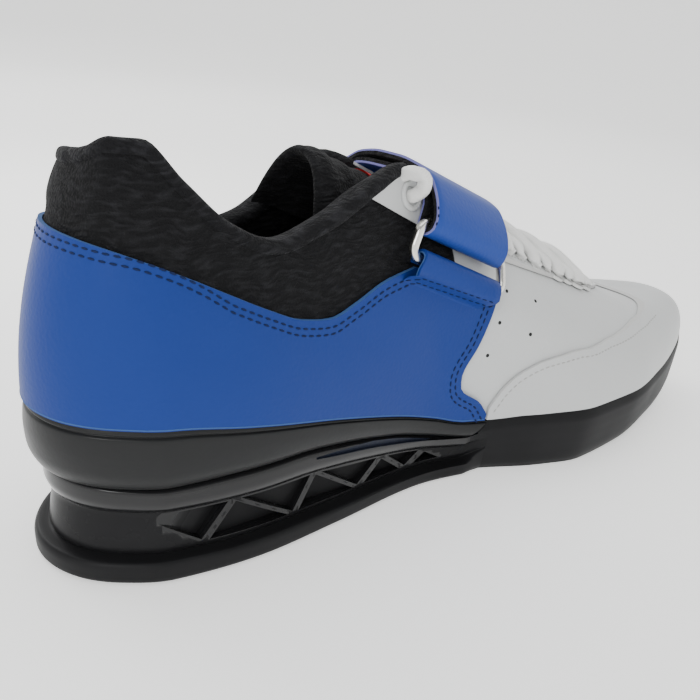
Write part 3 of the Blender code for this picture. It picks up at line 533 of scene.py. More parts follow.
def upper_point(angle, up):
    """The upper's outer surface: angle runs round the shoe, up goes from feather line to top line."""
    foot, top = feather_line(angle), top_line(angle)
    outward = foot[..., :2] - edge(angle, feather_inset(angle) + 1.0)
    lean = np.radians(section_value("low_lean", angle))[..., None]
    start = np.concatenate([unit(outward) * np.sin(lean), np.cos(lean)], axis=-1)
    inward = unit(top[..., :2] - foot[..., :2])
    slope = top_slope(angle)
    climb = np.tan(np.radians(section_value("top_angle", angle))) + slope * inward[..., 0]
    finish = unit(np.concatenate([inward, climb[..., None]], axis=-1))
    reach = np.linalg.norm(top - foot, axis=-1, keepdims=True)
    low_handle = foot + start * reach * section_value("low_pull", angle)[..., None]
    top_handle = top - finish * reach * section_value("top_pull", angle)[..., None]
    u = np.asarray(up)[..., None]
    return (
        foot * (1 - u) ** 3 + low_handle * 3 * u * (1 - u) ** 2
        + top_handle * 3 * u * u * (1 - u) + top * u**3
    )


def upper_grid(angle, ups):
    across, up = np.meshgrid(angle, np.asarray(ups))
    grid = upper_point(across, up)
    return grid + normals_of(grid) * creases(grid, up)[..., None]


def creases(grid, up):
    """Soft troughs and ridges where the shoe has flexed, from the side as (x, z) lines."""
    total = np.zeros(grid.shape[:2])
    for start, end, depth, width in CREASES:
        start, end = np.array(start), np.array(end)
        flat = grid[..., (0, 2)]
        share = np.clip((flat - start) @ (end - start) / ((end - start) @ (end - start)), 0.0, 1.0)
        off = np.linalg.norm(flat - start - share[..., None] * (end - start), axis=-1)
        ends = np.sin(math.pi * np.clip(share, 0.04, 0.96)) ** 0.5
        total -= depth * ends * np.exp(-((off / width) ** 2))
    return total * blend(0.02, 0.12, up) * (1 - blend(0.84, 0.92, up))


RIDGE = length_share(ANGLES) >= THROAT_FRONT_T - 0.001


def normals_of(grid):
    """Outward normals of a grid of rows that run right round the shoe."""
    round_step = np.roll(grid, -1, axis=1) - np.roll(grid, 1, axis=1)
    up_step = np.gradient(grid, axis=0)
    normals = unit(np.cross(round_step, up_step))
    mirrored = np.roll(normals[-1, ::-1], 1, axis=0)
    normals[-1, RIDGE] = unit((normals[-1] + mirrored)[RIDGE])
    return normals


def collar_share(angle, up):
    """1 on the padded collar, 0 on the thin wall of the sides, throat and vamp."""
    behind = 1 - blend(COLLAR_FRONT_T - 0.05, COLLAR_FRONT_T + 0.04, length_share(angle))
    return behind * blend(0.45, 0.85, up)


def reaches(points):
    """How far along a polyline each of its points lies."""
    return np.concatenate([[0.0], np.cumsum(np.linalg.norm(np.diff(points, axis=0), axis=1))])


def curve_through(points, spacing):
    """Evenly spaced points of a smooth curve through a few."""
    points = np.asarray(points, float)
    reach = reaches(points)
    return evenly(smooth(reach, points, np.linspace(0.0, reach[-1], 400)), spacing)


def evenly(points, spacing):
    """Points at equal distances along a fine polyline."""
    reach = reaches(points)
    count = max(2, int(round(reach[-1] / spacing)) + 1)
    at = np.linspace(0.0, reach[-1], count)
    return np.stack([np.interp(at, reach, points[:, k]) for k in range(points.shape[1])], axis=-1)


# Meshes

def grid_faces(rows, columns, closed=True):
    faces = []
    for row in range(rows - 1):
        for k in range(columns if closed else columns - 1):
            after = (k + 1) % columns
            low, high = row * columns, (row + 1) * columns
            faces.append((low + k, low + after, high + after, high + k))
    return faces


def soften(mesh, sharp):
    """Smooth shading up to an angle in degrees."""
    mesh.shade_smooth()
    mesh.set_sharp_from_angle(angle=math.radians(sharp))


def add_object(name, data):
    item = bpy.data.objects.new(name, data)
    bpy.context.scene.collection.objects.link(item)
    return item


def make_object(name, points, faces, *materials, sharp=50.0, weld=True):
    """A mesh object from points in millimetres."""
    mesh = bpy.data.meshes.new(name)
    mesh.from_pydata((np.asarray(points) * MILLIMETRE).tolist(), [], faces)
    for made_of in materials:
        mesh.materials.append(made_of)
    if weld:
        made = bmesh.new()
        made.from_mesh(mesh)
        bmesh.ops.remove_doubles(made, verts=made.verts, dist=0.000002)
        bmesh.ops.recalc_face_normals(made, faces=made.faces)
        made.to_mesh(mesh)
        made.free()
    soften(mesh, sharp)
    return add_object(name, mesh)


def settle(item, sharp=40.0):
    """Makes an object's modifiers final, as a plain mesh."""
    bpy.context.view_layer.update()
    graph = bpy.context.evaluated_depsgraph_get()
    mesh = bpy.data.meshes.new_from_object(item.evaluated_get(graph))
    item.modifiers.clear()
    item.data = mesh
    mesh.name = item.name
    soften(mesh, sharp)
    return item


def show(item, replaced=()):
    """Fixes a finished piece to the shoe."""
    if replaced:
        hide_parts(*replaced)
    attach(item, "root")
    return item


def ladder(start, columns, closed):
    """Closes a row of points with rungs from its medial to its lateral side."""
    loop = [start + k for k in range(columns)]
    if closed:
        pairs = [(loop[k], loop[-k % columns]) for k in range(columns // 2 + 1)]
    else:
        pairs = [(loop[-1 - k], loop[k]) for k in range(columns // 2 + 1)]
    faces = []
    for (near, far), (next_near, next_far) in zip(pairs, pairs[1:]):
        faces.append(list(dict.fromkeys((near, next_near, next_far, far))))
    return [face for face in faces if len(face) > 2]


def folded_faces(loops):
    """Faces of a stack of loops that each run out and back, closed at both ends."""
    size = len(loops[0])
    faces = grid_faces(len(loops), size)
    for start in (0, (len(loops) - 1) * size):
        for k in range(size // 2 - 1):
            faces.append((start + k, start + k + 1, start + size - 2 - k, start + size - 1 - k))
    return faces


def band(name, rows, made_of, closed=True):
    columns = len(rows[0])
    faces = grid_faces(len(rows), columns, closed)
    faces += ladder(0, columns, closed)
    faces += ladder((len(rows) - 1) * columns, columns, closed)
    if not closed:
        first = [row * columns for row in range(len(rows))]
        faces.append(first + [row * columns + columns - 1 for row in reversed(range(len(rows)))])
    return make_object(name, np.concatenate(rows), faces, made_of, sharp=42.0)


def prism(outline, depth_axis, low, high, made_of=None):
    """A temporary cutter: a flat outline pushed along one axis."""
    flat_axes = [axis for axis in range(3) if axis != depth_axis]
    count = len(outline)
    points = np.zeros((2 * count, 3))
    points[:, flat_axes] = np.tile(np.asarray(outline, float), (2, 1))
    points[:count, depth_axis] = low
    points[count:, depth_axis] = high
    faces = [[k, (k + 1) % count, count + (k + 1) % count, count + k] for k in range(count)]
    faces += [list(range(count))[::-1], list(range(count, 2 * count))]
    return make_object("cutter", points, faces, *([made_of] if made_of else []))


def cut(item, tool, operation):
    change = item.modifiers.new(operation.lower(), "BOOLEAN")
    change.operation = operation
    change.object = tool
    change.solver = "EXACT"
    change.material_mode = "TRANSFER"
    settle(item)
    bpy.data.objects.remove(tool, do_unlink=True)


def sweep(name, path, section, ups, *materials, closed=False, sharp=50.0):
    """A section of (across, up) pairs, or one per path point, carried along a path."""
    path = np.asarray(path, float)
    along = unit(np.roll(path, -1, 0) - np.roll(path, 1, 0) if closed else np.gradient(path, axis=0))
    across = unit(np.cross(along, ups))
    up = np.cross(across, along)
    section = np.asarray(section, float)
    if section.ndim == 2:
        section = np.broadcast_to(section, (len(path),) + section.shape)
    rings = path[:, None] + across[:, None] * section[..., :1] + up[:, None] * section[..., 1:]
    count = section.shape[1]
    rows = len(path)
    faces = grid_faces(rows, count, True)
    if closed:
        last = (rows - 1) * count
        faces += [(last + k, last + (k + 1) % count, (k + 1) % count, k) for k in range(count)]
    else:
        faces += [list(range(count)), list(range((rows - 1) * count, rows * count))]
    return make_object(name, rings.reshape(-1, 3), faces, *materials, sharp=sharp)


def oval(wide, thick, count=16, power=0.8):
    """Points of a rounded section, from (across, up) half sizes."""
    turns = np.radians(np.arange(count) * 360.0 / count)
    sides = [np.sign(way) * np.abs(way) ** power for way in (np.cos(turns), np.sin(turns))]
    return np.stack(sides, axis=-1) * (wide, thick)


# Materials

VECTOR, FLOAT, COLOR = "NodeSocketVector", "NodeSocketFloat", "NodeSocketColor"
SHAPE, MATERIAL = "NodeSocketGeometry", "NodeSocketMaterial"
LEATHER_FROM = (-0.0108, -0.0104)
PARTING_SLANT = 1.15
PARTING_AT = 0.0524
# How many times lighter the knit is painted where its ribs stand up: a painted highlight
RIB_PAINTED_HIGHLIGHT = 2.6
KNIT_RELIEF = 0.0013
GRAIN_SHARE = 0.085


class Nodes:
    """Short calls for building one material's or group's nodes."""

    def __init__(self, tree):
        self.tree = tree

    def put(self, socket, value):
        """Links a socket, or sets a constant."""
        if isinstance(value, bpy.types.NodeSocket):
            self.tree.links.new(value, socket)
        else:
            socket.default_value = value

    def add(self, kind, inputs=None, **settings):
        node = self.tree.nodes.new(kind)
        for key, value in settings.items():
            setattr(node, key, value)
        for key, value in (inputs or {}).items():
            self.put(node.inputs[key], value)
        return node

    def math(self, operation, first, second=0.0, third=0.0):
        inputs = {0: first, 1: second}
        if operation == "MULTIPLY_ADD":
            inputs[2] = third
        return self.add("ShaderNodeMath", inputs, operation=operation).outputs[0]

    def mix(self, share, first, second):
        """Two colours mixed; the colour sockets of a mix node have no names of their own."""
        return self.add("ShaderNodeMix", {0: share, 6: first, 7: second}, data_type="RGBA").outputs[2]

    def ramp(self, value, low, high, top=1.0):
        """0 at low, rising evenly to top at high."""
        given = {"Value": value, "From Min": low, "From Max": high, "To Max": top}
        return self.add("ShaderNodeMapRange", given).outputs[0]

    def noise(self, place, scale, detail=3.0):
        given = {"Vector": place, "Scale": scale, "Detail": detail}
        return self.add("ShaderNodeTexNoise", given).outputs["Fac"]

    def place(self):
        return self.add("ShaderNodeTexCoord").outputs["Object"]


def rgba(color, share=1.0):
    return (*(share * c for c in color), 1.0)


def new_material(name, color, roughness, gloss=0.5, metallic=0.0):
    made = bpy.data.materials.new(name)
    made.use_nodes = True
    nodes = Nodes(made.node_tree)
    shader = made.node_tree.nodes["Principled BSDF"]
    shader.inputs["Base Color"].default_value = rgba(color)
    shader.inputs["Roughness"].default_value = roughness
    shader.inputs["Specular IOR Level"].default_value = gloss
    shader.inputs["Metallic"].default_value = metallic
    return made, nodes, shader


def bump(nodes, shader, value, distance, strength):
    given = {"Height": value, "Distance": distance, "Strength": strength}
    nodes.put(shader.inputs["Normal"], nodes.add("ShaderNodeBump", given).outputs["Normal"])


def group_nodes(name, inputs, outputs, tree_kind="ShaderNodeTree"):
    """A new node group with named sockets: its tree, its nodes and its inputs."""
    tree = bpy.data.node_groups.new(name, tree_kind)
    for label, kind, value in inputs:
        socket = tree.interface.new_socket(name=label, in_out="INPUT", socket_type=kind)
        if value is not None:
            socket.default_value = value
    for label, kind in outputs:
        tree.interface.new_socket(name=label, in_out="OUTPUT", socket_type=kind)
    nodes = Nodes(tree)
    return tree, nodes, nodes.add("NodeGroupInput").outputs


def knit_weave():
    """Wavy cross ribs over a fine stitch: a height, and where the ribs stand up, which gets their painted
    highlight.
    """
    given = (
        ("Place", VECTOR, None), ("Wave", VECTOR, (0.006, 0.006, 0.006)), ("Wave Scale", FLOAT, 90.0),
        ("Rib Scale", VECTOR, (230.0, 230.0, 800.0)), ("Stitch Scale", FLOAT, 1300.0),
    )
    tree, nodes, inputs = group_nodes("knit_weave", given, (("Height", FLOAT), ("Ribs", FLOAT)))
    waves = {"Vector": inputs["Place"], "Scale": inputs["Wave Scale"], "Detail": 1.0}
    warp = nodes.add("ShaderNodeTexNoise", waves).outputs["Color"]
    moved = nodes.add("ShaderNodeVectorMath", {0: warp, 1: inputs["Wave"]}, operation="MULTIPLY").outputs[0]
    shifted = nodes.add("ShaderNodeVectorMath", {0: inputs["Place"], 1: moved}, operation="ADD").outputs[0]
    stretched = nodes.add("ShaderNodeMapping", {"Vector": shifted, "Scale": inputs["Rib Scale"]}).outputs[0]
    ribs = nodes.noise(stretched, 1.0, 1.5)
    cells = {"Vector": inputs["Place"], "Scale": inputs["Stitch Scale"]}
    fine = nodes.add("ShaderNodeTexVoronoi", cells).outputs[0]
    height_over = nodes.math("MULTIPLY_ADD", fine, 0.25, ribs)
    nodes.add("NodeGroupOutput", {"Height": height_over, "Ribs": nodes.ramp(ribs, 0.45, 0.75)})
    return tree


def leather_grain():
    """A fine pebble over soft swells, as a height."""
    given = (("Place", VECTOR, None), ("Grain Scale", FLOAT, 900.0), ("Swell Scale", FLOAT, 45.0))
    tree, nodes, inputs = group_nodes("leather_grain", given, (("Height", FLOAT),))
    grain = {"Vector": inputs["Place"], "Scale": inputs["Grain Scale"]}
    cells = nodes.add("ShaderNodeTexVoronoi", grain, feature="SMOOTH_F1").outputs[0]
    swell = nodes.noise(inputs["Place"], inputs["Swell Scale"], 4.0)
    nodes.add("NodeGroupOutput", {"Height": nodes.math("MULTIPLY_ADD", swell, 1.6, cells)})
    return tree


def slow_tone():
    """A colour that drifts slowly between two shares of itself."""
    given = (
        ("Place", VECTOR, None), ("Color", COLOR, None), ("Scale", FLOAT, 18.0),
        ("First Share", FLOAT, 1.0), ("Second Share", FLOAT, 0.93),
    )
    tree, nodes, inputs = group_nodes("slow_tone", given, (("Color", COLOR),))
    shades = []
    for share in ("First Share", "Second Share"):
        scaled = {0: inputs["Color"], "Scale": inputs[share]}
        shades.append(nodes.add("ShaderNodeVectorMath", scaled, operation="SCALE").outputs[0])
    drift = nodes.noise(inputs["Place"], inputs["Scale"])
    nodes.add("NodeGroupOutput", {"Color": nodes.mix(drift, *shades)})
    return tree


def uneven_finish():
    """A roughness with faint dust and handling marks."""
    given = (
        ("Place", VECTOR, None), ("Scale", FLOAT, 90.0), ("Detail", FLOAT, 4.0),
        ("Base", FLOAT, 0.2), ("Amount", FLOAT, 0.1),
    )
    tree, nodes, inputs = group_nodes("uneven_finish", given, (("Roughness", FLOAT),))
    marks = nodes.noise(inputs["Place"], inputs["Scale"], inputs["Detail"])
    rough = nodes.math("MULTIPLY_ADD", marks, inputs["Amount"], inputs["Base"])
    nodes.add("NodeGroupOutput", {"Roughness": rough})
    return tree


GROUPS = {}


def effect(nodes, made_by, **values):
    """A shared effect placed in a material with that material's own values: its outputs."""
    name = made_by.__name__
    if name not in GROUPS:
        GROUPS[name] = made_by()
    given = {key.replace("_", " "): value for key, value in values.items()}
    return nodes.add("ShaderNodeGroup", given, node_tree=GROUPS[name]).outputs


def smooth_leather(name, color, roughness):
    """Coated synthetic leather: a fine pebble and slow changes of tone."""
    made, nodes, shader = new_material(name, color, roughness, gloss=0.17)
    place = nodes.place()
    bump(nodes, shader, effect(nodes, leather_grain, Place=place)["Height"], 0.00012, 0.6)
    nodes.put(shader.inputs["Base Color"], effect(nodes, slow_tone, Place=place, Color=rgba(color))["Color"])
    return made


# Painted highlight: the knit's colour, lighter where its ribs stand up
def knit_colour_with_rib_highlight(nodes, ribs, color):
    return nodes.mix(ribs, rgba(color), rgba(color, RIB_PAINTED_HIGHLIGHT))


def knit_cloth(name, color):
    """Loose knit: wavy cross ribs over a fine stitch, painted lighter where the ribs stand up as a painted
    highlight.
    """
    made, nodes, shader = new_material(name, color, 0.85, gloss=0.12)
    weave = effect(nodes, knit_weave, Place=nodes.place())
    bump(nodes, shader, weave["Height"], KNIT_RELIEF, 0.9)
    nodes.put(shader.inputs["Base Color"], knit_colour_with_rib_highlight(nodes, weave["Ribs"], color))
    shader.inputs["Sheen Weight"].default_value = 0.04
    shader.inputs["Sheen Roughness"].default_value = 0.4
    return made


def upper_material(knit_color, leather_color):
    """Black knit behind a line across the upper, with a painted highlight on its raised ribs, and white
    leather in front of it.
    """
    made, nodes, shader = new_material("upper_cloth_and_leather", leather_color, 0.42, gloss=0.15)
    place = nodes.place()
    split = nodes.add("ShaderNodeSeparateXYZ", {"Vector": place})
    is_leather = nodes.ramp(split.outputs["X"], *LEATHER_FROM)
    is_knit = nodes.math("SUBTRACT", 1.0, is_leather)
    knit = effect(nodes, knit_weave, Place=place)
    grain = effect(nodes, leather_grain, Place=place, Swell_Scale=40.0)["Height"]
    leather = nodes.math("MULTIPLY", nodes.math("MULTIPLY", grain, GRAIN_SHARE), is_leather)
    bump(nodes, shader, nodes.math("MULTIPLY_ADD", knit["Height"], is_knit, leather), KNIT_RELIEF, 0.9)
    color = nodes.mix(is_leather, knit_colour_with_rib_highlight(nodes, knit["Ribs"], knit_color), rgba(leather_color))
    nodes.put(shader.inputs["Base Color"], color)
    nodes.put(shader.inputs["Roughness"], nodes.math("MULTIPLY_ADD", is_knit, 0.42, 0.42))
    return made


def rubber_material(color):
    """Moulded rubber, from matt flange to polished rail, by an attribute of the mesh."""
    made, nodes, shader = new_material("sole_rubber", color, 0.35, gloss=0.12)
    place = nodes.place()
    rough = nodes.add("ShaderNodeAttribute", attribute_name="rough").outputs["Fac"]
    nodes.put(shader.inputs["Coat Weight"], nodes.ramp(rough, 0.20, 0.12, 0.5))
    shader.inputs["Coat Roughness"].default_value = 0.16
    finish = effect(nodes, uneven_finish, Place=place, Scale=120.0, Detail=5.0, Base=rough, Amount=0.10)
    nodes.put(shader.inputs["Roughness"], finish["Roughness"])
    fine, slow = nodes.noise(place, 1500.0, 2.0), nodes.noise(place, 60.0, 3.0)
    bump(nodes, shader, nodes.math("MULTIPLY_ADD", slow, 0.3, fine), 0.00003, 0.5)
    shares = {"First_Share": 0.8, "Second_Share": 1.4}
    tone = effect(nodes, slow_tone, Place=place, Color=rgba(color), Scale=35.0, **shares)
    nodes.put(shader.inputs["Base Color"], tone["Color"])
    return made


def foam_material(color):
    """Hard foam with the dark parting line of its mould at the back of the heel."""
    made, nodes, shader = new_material("midsole_foam", color, 0.34, gloss=0.22)
    place = nodes.place()
    split = nodes.add("ShaderNodeSeparateXYZ", {"Vector": place})
    slant = nodes.math("MULTIPLY_ADD", split.outputs["Z"], -PARTING_SLANT, split.outputs["Y"])
    off = nodes.math("ABSOLUTE", nodes.math("ADD", slant, PARTING_AT))
    at_heel = nodes.math("LESS_THAN", split.outputs["X"], -0.12)
    parting = nodes.math("MULTIPLY", nodes.math("LESS_THAN", off, 0.0005), at_heel)
    nodes.put(shader.inputs["Base Color"], nodes.mix(parting, rgba(color), rgba(PARTING_BLACK)))
    bump(nodes, shader, nodes.noise(place, 700.0, 3.0), 0.00007, 0.6)
    finish = effect(nodes, uneven_finish, Place=place, Scale=50.0, Base=0.27, Amount=0.14)
    nodes.put(shader.inputs["Roughness"], finish["Roughness"])
    return made


def diagonal_wave(nodes, place, scale):
    given = {"Vector": place, "Scale": scale}
    return nodes.add("ShaderNodeTexWave", given, bands_direction="DIAGONAL").outputs["Fac"]


def thread_material(name, color):
    made, nodes, shader = new_material(name, color, 0.7, gloss=0.15)
    bump(nodes, shader, diagonal_wave(nodes, nodes.place(), 700.0), 0.0001, 0.7)
    return made


def lace_material(color):
    """Two diagonal sets of threads that cross, along the lace's own map, with painted shade between the
    threads.
    """
    made, nodes, shader = new_material("lace_weave", color, 0.8)
    where = nodes.add("ShaderNodeUVMap").outputs[0]
    turned = nodes.add("ShaderNodeMapping", {"Vector": where, "Scale": (-1.0, 1.0, 1.0)}).outputs[0]
    waves = [diagonal_wave(nodes, place, 1.3) for place in (where, turned)]
    weave = nodes.math("MAXIMUM", *waves)
    bump(nodes, shader, weave, 0.00022, 0.7)
    # Painted shade: the lace is darker in the low parts of its weave, between the threads
    nodes.put(shader.inputs["Base Color"], nodes.mix(weave, rgba(color, 0.90), rgba(color)))
    shader.inputs["Sheen Weight"].default_value = 0.2
    return made


def steel_material():
    """Brushed steel with fine scratches along the shoe."""
    made, nodes, shader = new_material("ring_metal", STEEL, 0.22, metallic=1.0)
    place = nodes.place()
    scratched = nodes.add("ShaderNodeMapping", {"Vector": place, "Scale": (60.0, 900.0, 900.0)}).outputs[0]
    bump(nodes, shader, nodes.noise(scratched, 1.0, 2.0), 0.00005, 0.4)
    finish = effect(nodes, uneven_finish, Place=place, Detail=3.0, Base=0.16, Amount=0.12)
    nodes.put(shader.inputs["Roughness"], finish["Roughness"])
    return made


MATERIALS = {}


def materials():
    """Every material, made once, from the colours in the sidebar and the fixed colours above."""
    if not MATERIALS:
        group = bpy.context.scene.shoe_colours
        tints = {name: tuple(getattr(group, name)) for name in type(group).__annotations__}
        MATERIALS.update(
            upper=upper_material(tints["knit"], tints["leather"]),
            knit=knit_cloth("tongue_knit", tints["knit"]),
            binding=knit_cloth("binding_cloth", BINDING_BLACK),
            lining=knit_cloth("lining_cloth", LINING_BLACK),
            blue=smooth_leather("blue_synthetic", tints["counter"], 0.46),
            strap=smooth_leather("strap_synthetic", tints["strap"], 0.44),
            raw=smooth_leather("raw_blue_edge", tints["raw_edge"], 0.7),
            purple=smooth_leather("purple_edge", PURPLE_EDGE_HIGHLIGHT, 0.7),
            white=smooth_leather("white_leather", tints["leather"], 0.40),
            white_edge=smooth_leather("white_cut_edge", CUT_WHITE, 0.6),
            loop=knit_cloth("strap_loop_face", LOOP_BLACK),
            rubber=rubber_material(tints["rubber"]),
            foam=foam_material(tints["foam"]),
            blue_thread=thread_material("dark_blue_thread", BLUE_THREAD),
            white_thread=thread_material("white_thread", WHITE_THREAD),
            lace=lace_material(tints["lace"]),
            steel=steel_material(),
            hole=new_material("dark_hole", HOLE_SHADE, 0.9)[0],
            red=smooth_leather("red_label", tints["label"], 0.5),
            slot=smooth_leather("slot_insert", SLOT_NAVY, 0.35),
        )
    return MATERIALS


# Stitches as a geometry node group

def stitch_group():
    """Puts one small stitch on every point, turned along its thread and standing off the surface."""
    given = (
        ("Geometry", SHAPE, None), ("Length", FLOAT, None), ("Width", FLOAT, None), ("Height", FLOAT, None),
        ("Material", MATERIAL, None),
    )
    group, nodes, inputs = group_nodes("stitches", given, (("Geometry", SHAPE),), "GeometryNodeTree")
    sides = {"X": inputs["Length"], "Y": inputs["Width"], "Z": inputs["Height"]}
    size = nodes.add("ShaderNodeCombineXYZ", sides).outputs[0]
    ball = nodes.add("GeometryNodeMeshUVSphere", {"Segments": 8, "Rings": 5, "Radius": 0.5}).outputs[0]
    along, out = (
        nodes.add("GeometryNodeInputNamedAttribute", {"Name": name}, data_type="FLOAT_VECTOR").outputs[0]
        for name in ("along", "out")
    )
    turn = "FunctionNodeAlignRotationToVector"
    upright = nodes.add(turn, {"Vector": out}, axis="Z").outputs[0]
    turned = nodes.add(turn, {"Rotation": upright, "Vector": along}, axis="X", pivot_axis="Z").outputs[0]
    spots = {"Points": inputs["Geometry"], "Instance": ball, "Rotation": turned, "Scale": size}
    placed = nodes.add("GeometryNodeInstanceOnPoints", spots).outputs[0]
    real = nodes.add("GeometryNodeRealizeInstances", {"Geometry": placed}).outputs[0]
    rounded = nodes.add("GeometryNodeSetShadeSmooth", {"Geometry": real}).outputs[0]
    dressed = {"Geometry": rounded, "Material": inputs["Material"]}
    nodes.add("NodeGroupOutput", {"Geometry": nodes.add("GeometryNodeSetMaterial", dressed).outputs[0]})
    return group


def stitch_rows(name, rows, made_of, long=2.2, width=0.75, high=0.5):
    """Stitches at points, rows of (places, thread directions, surface normals) in millimetres."""
    if "stitches" not in GROUPS:
        GROUPS["stitches"] = stitch_group()
    places, along, out = (np.concatenate([row[k] for row in rows]) for k in range(3))
    mesh = bpy.data.meshes.new(name)
    mesh.from_pydata((places * MILLIMETRE).tolist(), [], [])
    for label, values in (("along", along), ("out", out)):
        layer = mesh.attributes.new(label, "FLOAT_VECTOR", "POINT")
        layer.data.foreach_set("vector", np.asarray(values, np.float32).ravel())
    item = add_object(name, mesh)
    change = item.modifiers.new("stitches", "NODES")
    change.node_group = GROUPS["stitches"]
    given = {"Material": made_of}
    for label, size in (("Length", long), ("Width", width), ("Height", high)):
        given[label] = size * MILLIMETRE
    for socket in change.node_group.interface.items_tree:
        if socket.in_out == "INPUT" and socket.name in given:
            change[socket.identifier] = given[socket.name]
    settle(item, sharp=80.0)
    item.data.materials.clear()
    item.data.materials.append(made_of)
    return show(item)


def surface_of(*items):
    made = bmesh.new()
    for item in items:
        made.from_mesh(item.data)
    tree = BVHTree.FromBMesh(made)
    made.free()
    return tree


def dropped(tree, points, ways, spacing=0.0):
    """Points cast onto a surface, then spaced evenly: places, thread directions and normals."""
    found = []
    for point, way in zip(points, np.broadcast_to(ways, np.shape(points))):
        way = Vector(way).normalized()
        place, out, _, _ = tree.ray_cast(Vector(point) * MILLIMETRE - way * CAST_REACH, way)
        if place is not None:
            out = -out if out.dot(way) > 0 else out
            found.append((*(place / MILLIMETRE), *out))
    found = np.array(found)
    if spacing and len(found) > 2:
        found = evenly(found, spacing)
    return found[:, :3], unit(np.gradient(found[:, :3], axis=0)), unit(found[:, 3:])


def heel_rays(line, drop):
    """Rays that meet a counter's top line from all round: along the sides, then round the heel."""
    x, z = np.array(line).T
    rays = []
    for side in (-1, 1):
        rows = []
        for px in np.arange(x[-1], HEEL_AXIS, -0.5):
            rows.append(((px, 0.0, np.interp(px, x, z) - drop), (0.0, -side, 0.0)))
        for turn in np.radians(np.arange(0.0, 90.0, 1.0)):
            level = np.interp(HEEL_AXIS - HEEL_REACH * math.sin(turn), x, z) - drop
            rows.append(((HEEL_AXIS, 0.0, level), (math.sin(turn), -side * math.cos(turn), 0.0)))
        rays += rows[::-side]
    return [np.array(part) for part in zip(*rays)]


def side_points(flat, spacing):
    """A line of (x, z) pairs as evenly spaced points on the middle plane."""
    line = evenly(np.asarray(flat, float), spacing)
    return np.stack([line[:, 0], np.zeros(len(line)), line[:, 1]], axis=-1)


def inset_line(points, distance):
    """A flat line moved to its right-hand side."""
    points = np.asarray(points, float)
    along = unit(np.gradient(points, axis=0))
    return points + np.stack([along[:, 1], -along[:, 0]], axis=-1) * distance


# Pieces

def chosen(name):
    """A size from the sidebar, in millimetres."""
    return getattr(bpy.context.scene.shoe_sizes, name) / MILLIMETRE


def sole_rows(angle):
    """The outsole's side in fine rows, with the finish of each."""
    fore = np.clip(outline_point(angle)[:, 0] / STEP_X, 0.0, 1.0)

    def mixed(at_heel, at_front):
        return (1 - fore) * at_heel + fore * at_front

    rows, finish = [], []
    for values in OUTSOLE_SIDE:
        row = dict(zip(SIDE_COLUMNS, values))
        tuck = 1 - TOE_TUCK * blend(TOE_TUCK_FROM, TOE_TUCK_TO, outline_point(angle)[:, 0])
        at_heel = row["heel_tuck"] * (0.5 + 0.5 * np.cos(angle)) ** HEEL_TUCK_POWER
        flat = edge(angle, mixed(row["heel_inset"] + at_heel, row["fore_inset"] * tuck))
        x = flat[:, 0]
        heel_z = height(row["heel_from"], x) + row["heel_rise"]
        fore_z = ground(x) + row["fore_share"] * (height("rim", x) - ground(x))
        rows.append(with_height(flat, mixed(heel_z, fore_z)))
        finish.append(mixed(row["heel_rough"], row["fore_rough"]))
    stations = np.arange(len(rows))
    fine = np.linspace(0, len(rows) - 1, SIDE_STEPS * (len(rows) - 1) + 1)
    rows = list(smooth(stations, np.array(rows), fine))
    finish = list(smooth(stations, np.array(finish), fine))
    for name, heel_inset, fore_inset in SOLE_CUP:
        flat = edge(angle, mixed(heel_inset, fore_inset))
        x = flat[:, 0]
        rows.append(with_height(flat, mixed(height("midsole_low", x) - GAP, height(name, x))))
        finish.append(finish[-1])
    return rows, finish


def pockets():
    """Triangles of the sole's truss, between its nodes on the flange and on the rail."""
    shapes = []
    for k in range(len(TRUSS_NODES) - 2):
        corners = []
        for node in range(k, k + 3):
            x = TRUSS_NODES[node]
            high = height("rail_low", x) - POCKET_MARGIN
            low = height("recess_low", x) + POCKET_MARGIN
            corners.append((x, low if node % 2 else high))
        corners = np.array(corners)
        middle = corners.mean(axis=0)
        reach = np.linalg.norm(corners - middle, axis=1).min()
        shapes.append(middle + (corners - middle) * (1 - TRUSS_RIB / reach))
    return shapes


def pocket_cutter():
    points, faces = [], []
    for side in (-1, 1):
        for shape in pockets():
            skin = edge(side_angle(shape[:, 0].mean(), side), RECESS_INSET)[1]
            start = len(points)
            for reach in (skin + side * POCKET_CUT_REACH, skin - side * POCKET_DEPTH):
                points += [(px, reach, pz) for px, pz in shape]
            faces += [[start, start + 1, start + 2], [start + 5, start + 4, start + 3]]
            for k in range(3):
                after = (k + 1) % 3
                faces.append([start + k, start + 3 + k, start + 3 + after, start + after])
    return make_object("cutter", points, faces)


def slot_cutter():
    """A long thin slot that opens along the rail towards the front, on both sides."""
    corners = ((SLOT_CUT_REACH, 0.5), (SLOT_CUT_REACH, -0.5), (-SLOT_DEPTH, -0.5), (-SLOT_DEPTH, 0.5))
    points, faces = [], []
    stations = np.linspace(SLOT[0][0], SLOT[-1][0], SLOT_STATIONS)
    middle = smooth(*(np.array(SLOT).T), stations)
    share = np.clip(np.linspace(0.0, 1.0, SLOT_STATIONS), 0.02, 0.98)
    tall = SLOT_HEIGHT * np.sin(math.pi * share) ** 0.4
    for side in (-1, 1):
        start = len(points)
        for x, z, high in zip(stations, middle, tall):
            rail = edge(side_angle(x, side), SLOT_RAIL_INSET)[1]
            points += [(x, rail + side * reach, z + rise * high) for reach, rise in corners]
        last = len(points) - 4
        faces += [[start + c for c in face] for face in grid_faces(SLOT_STATIONS, 4)]
        faces += [[start, start + 1, start + 2, start + 3], [last + 3, last + 2, last + 1, last]]
    return make_object("cutter", points, faces, materials()["slot"])


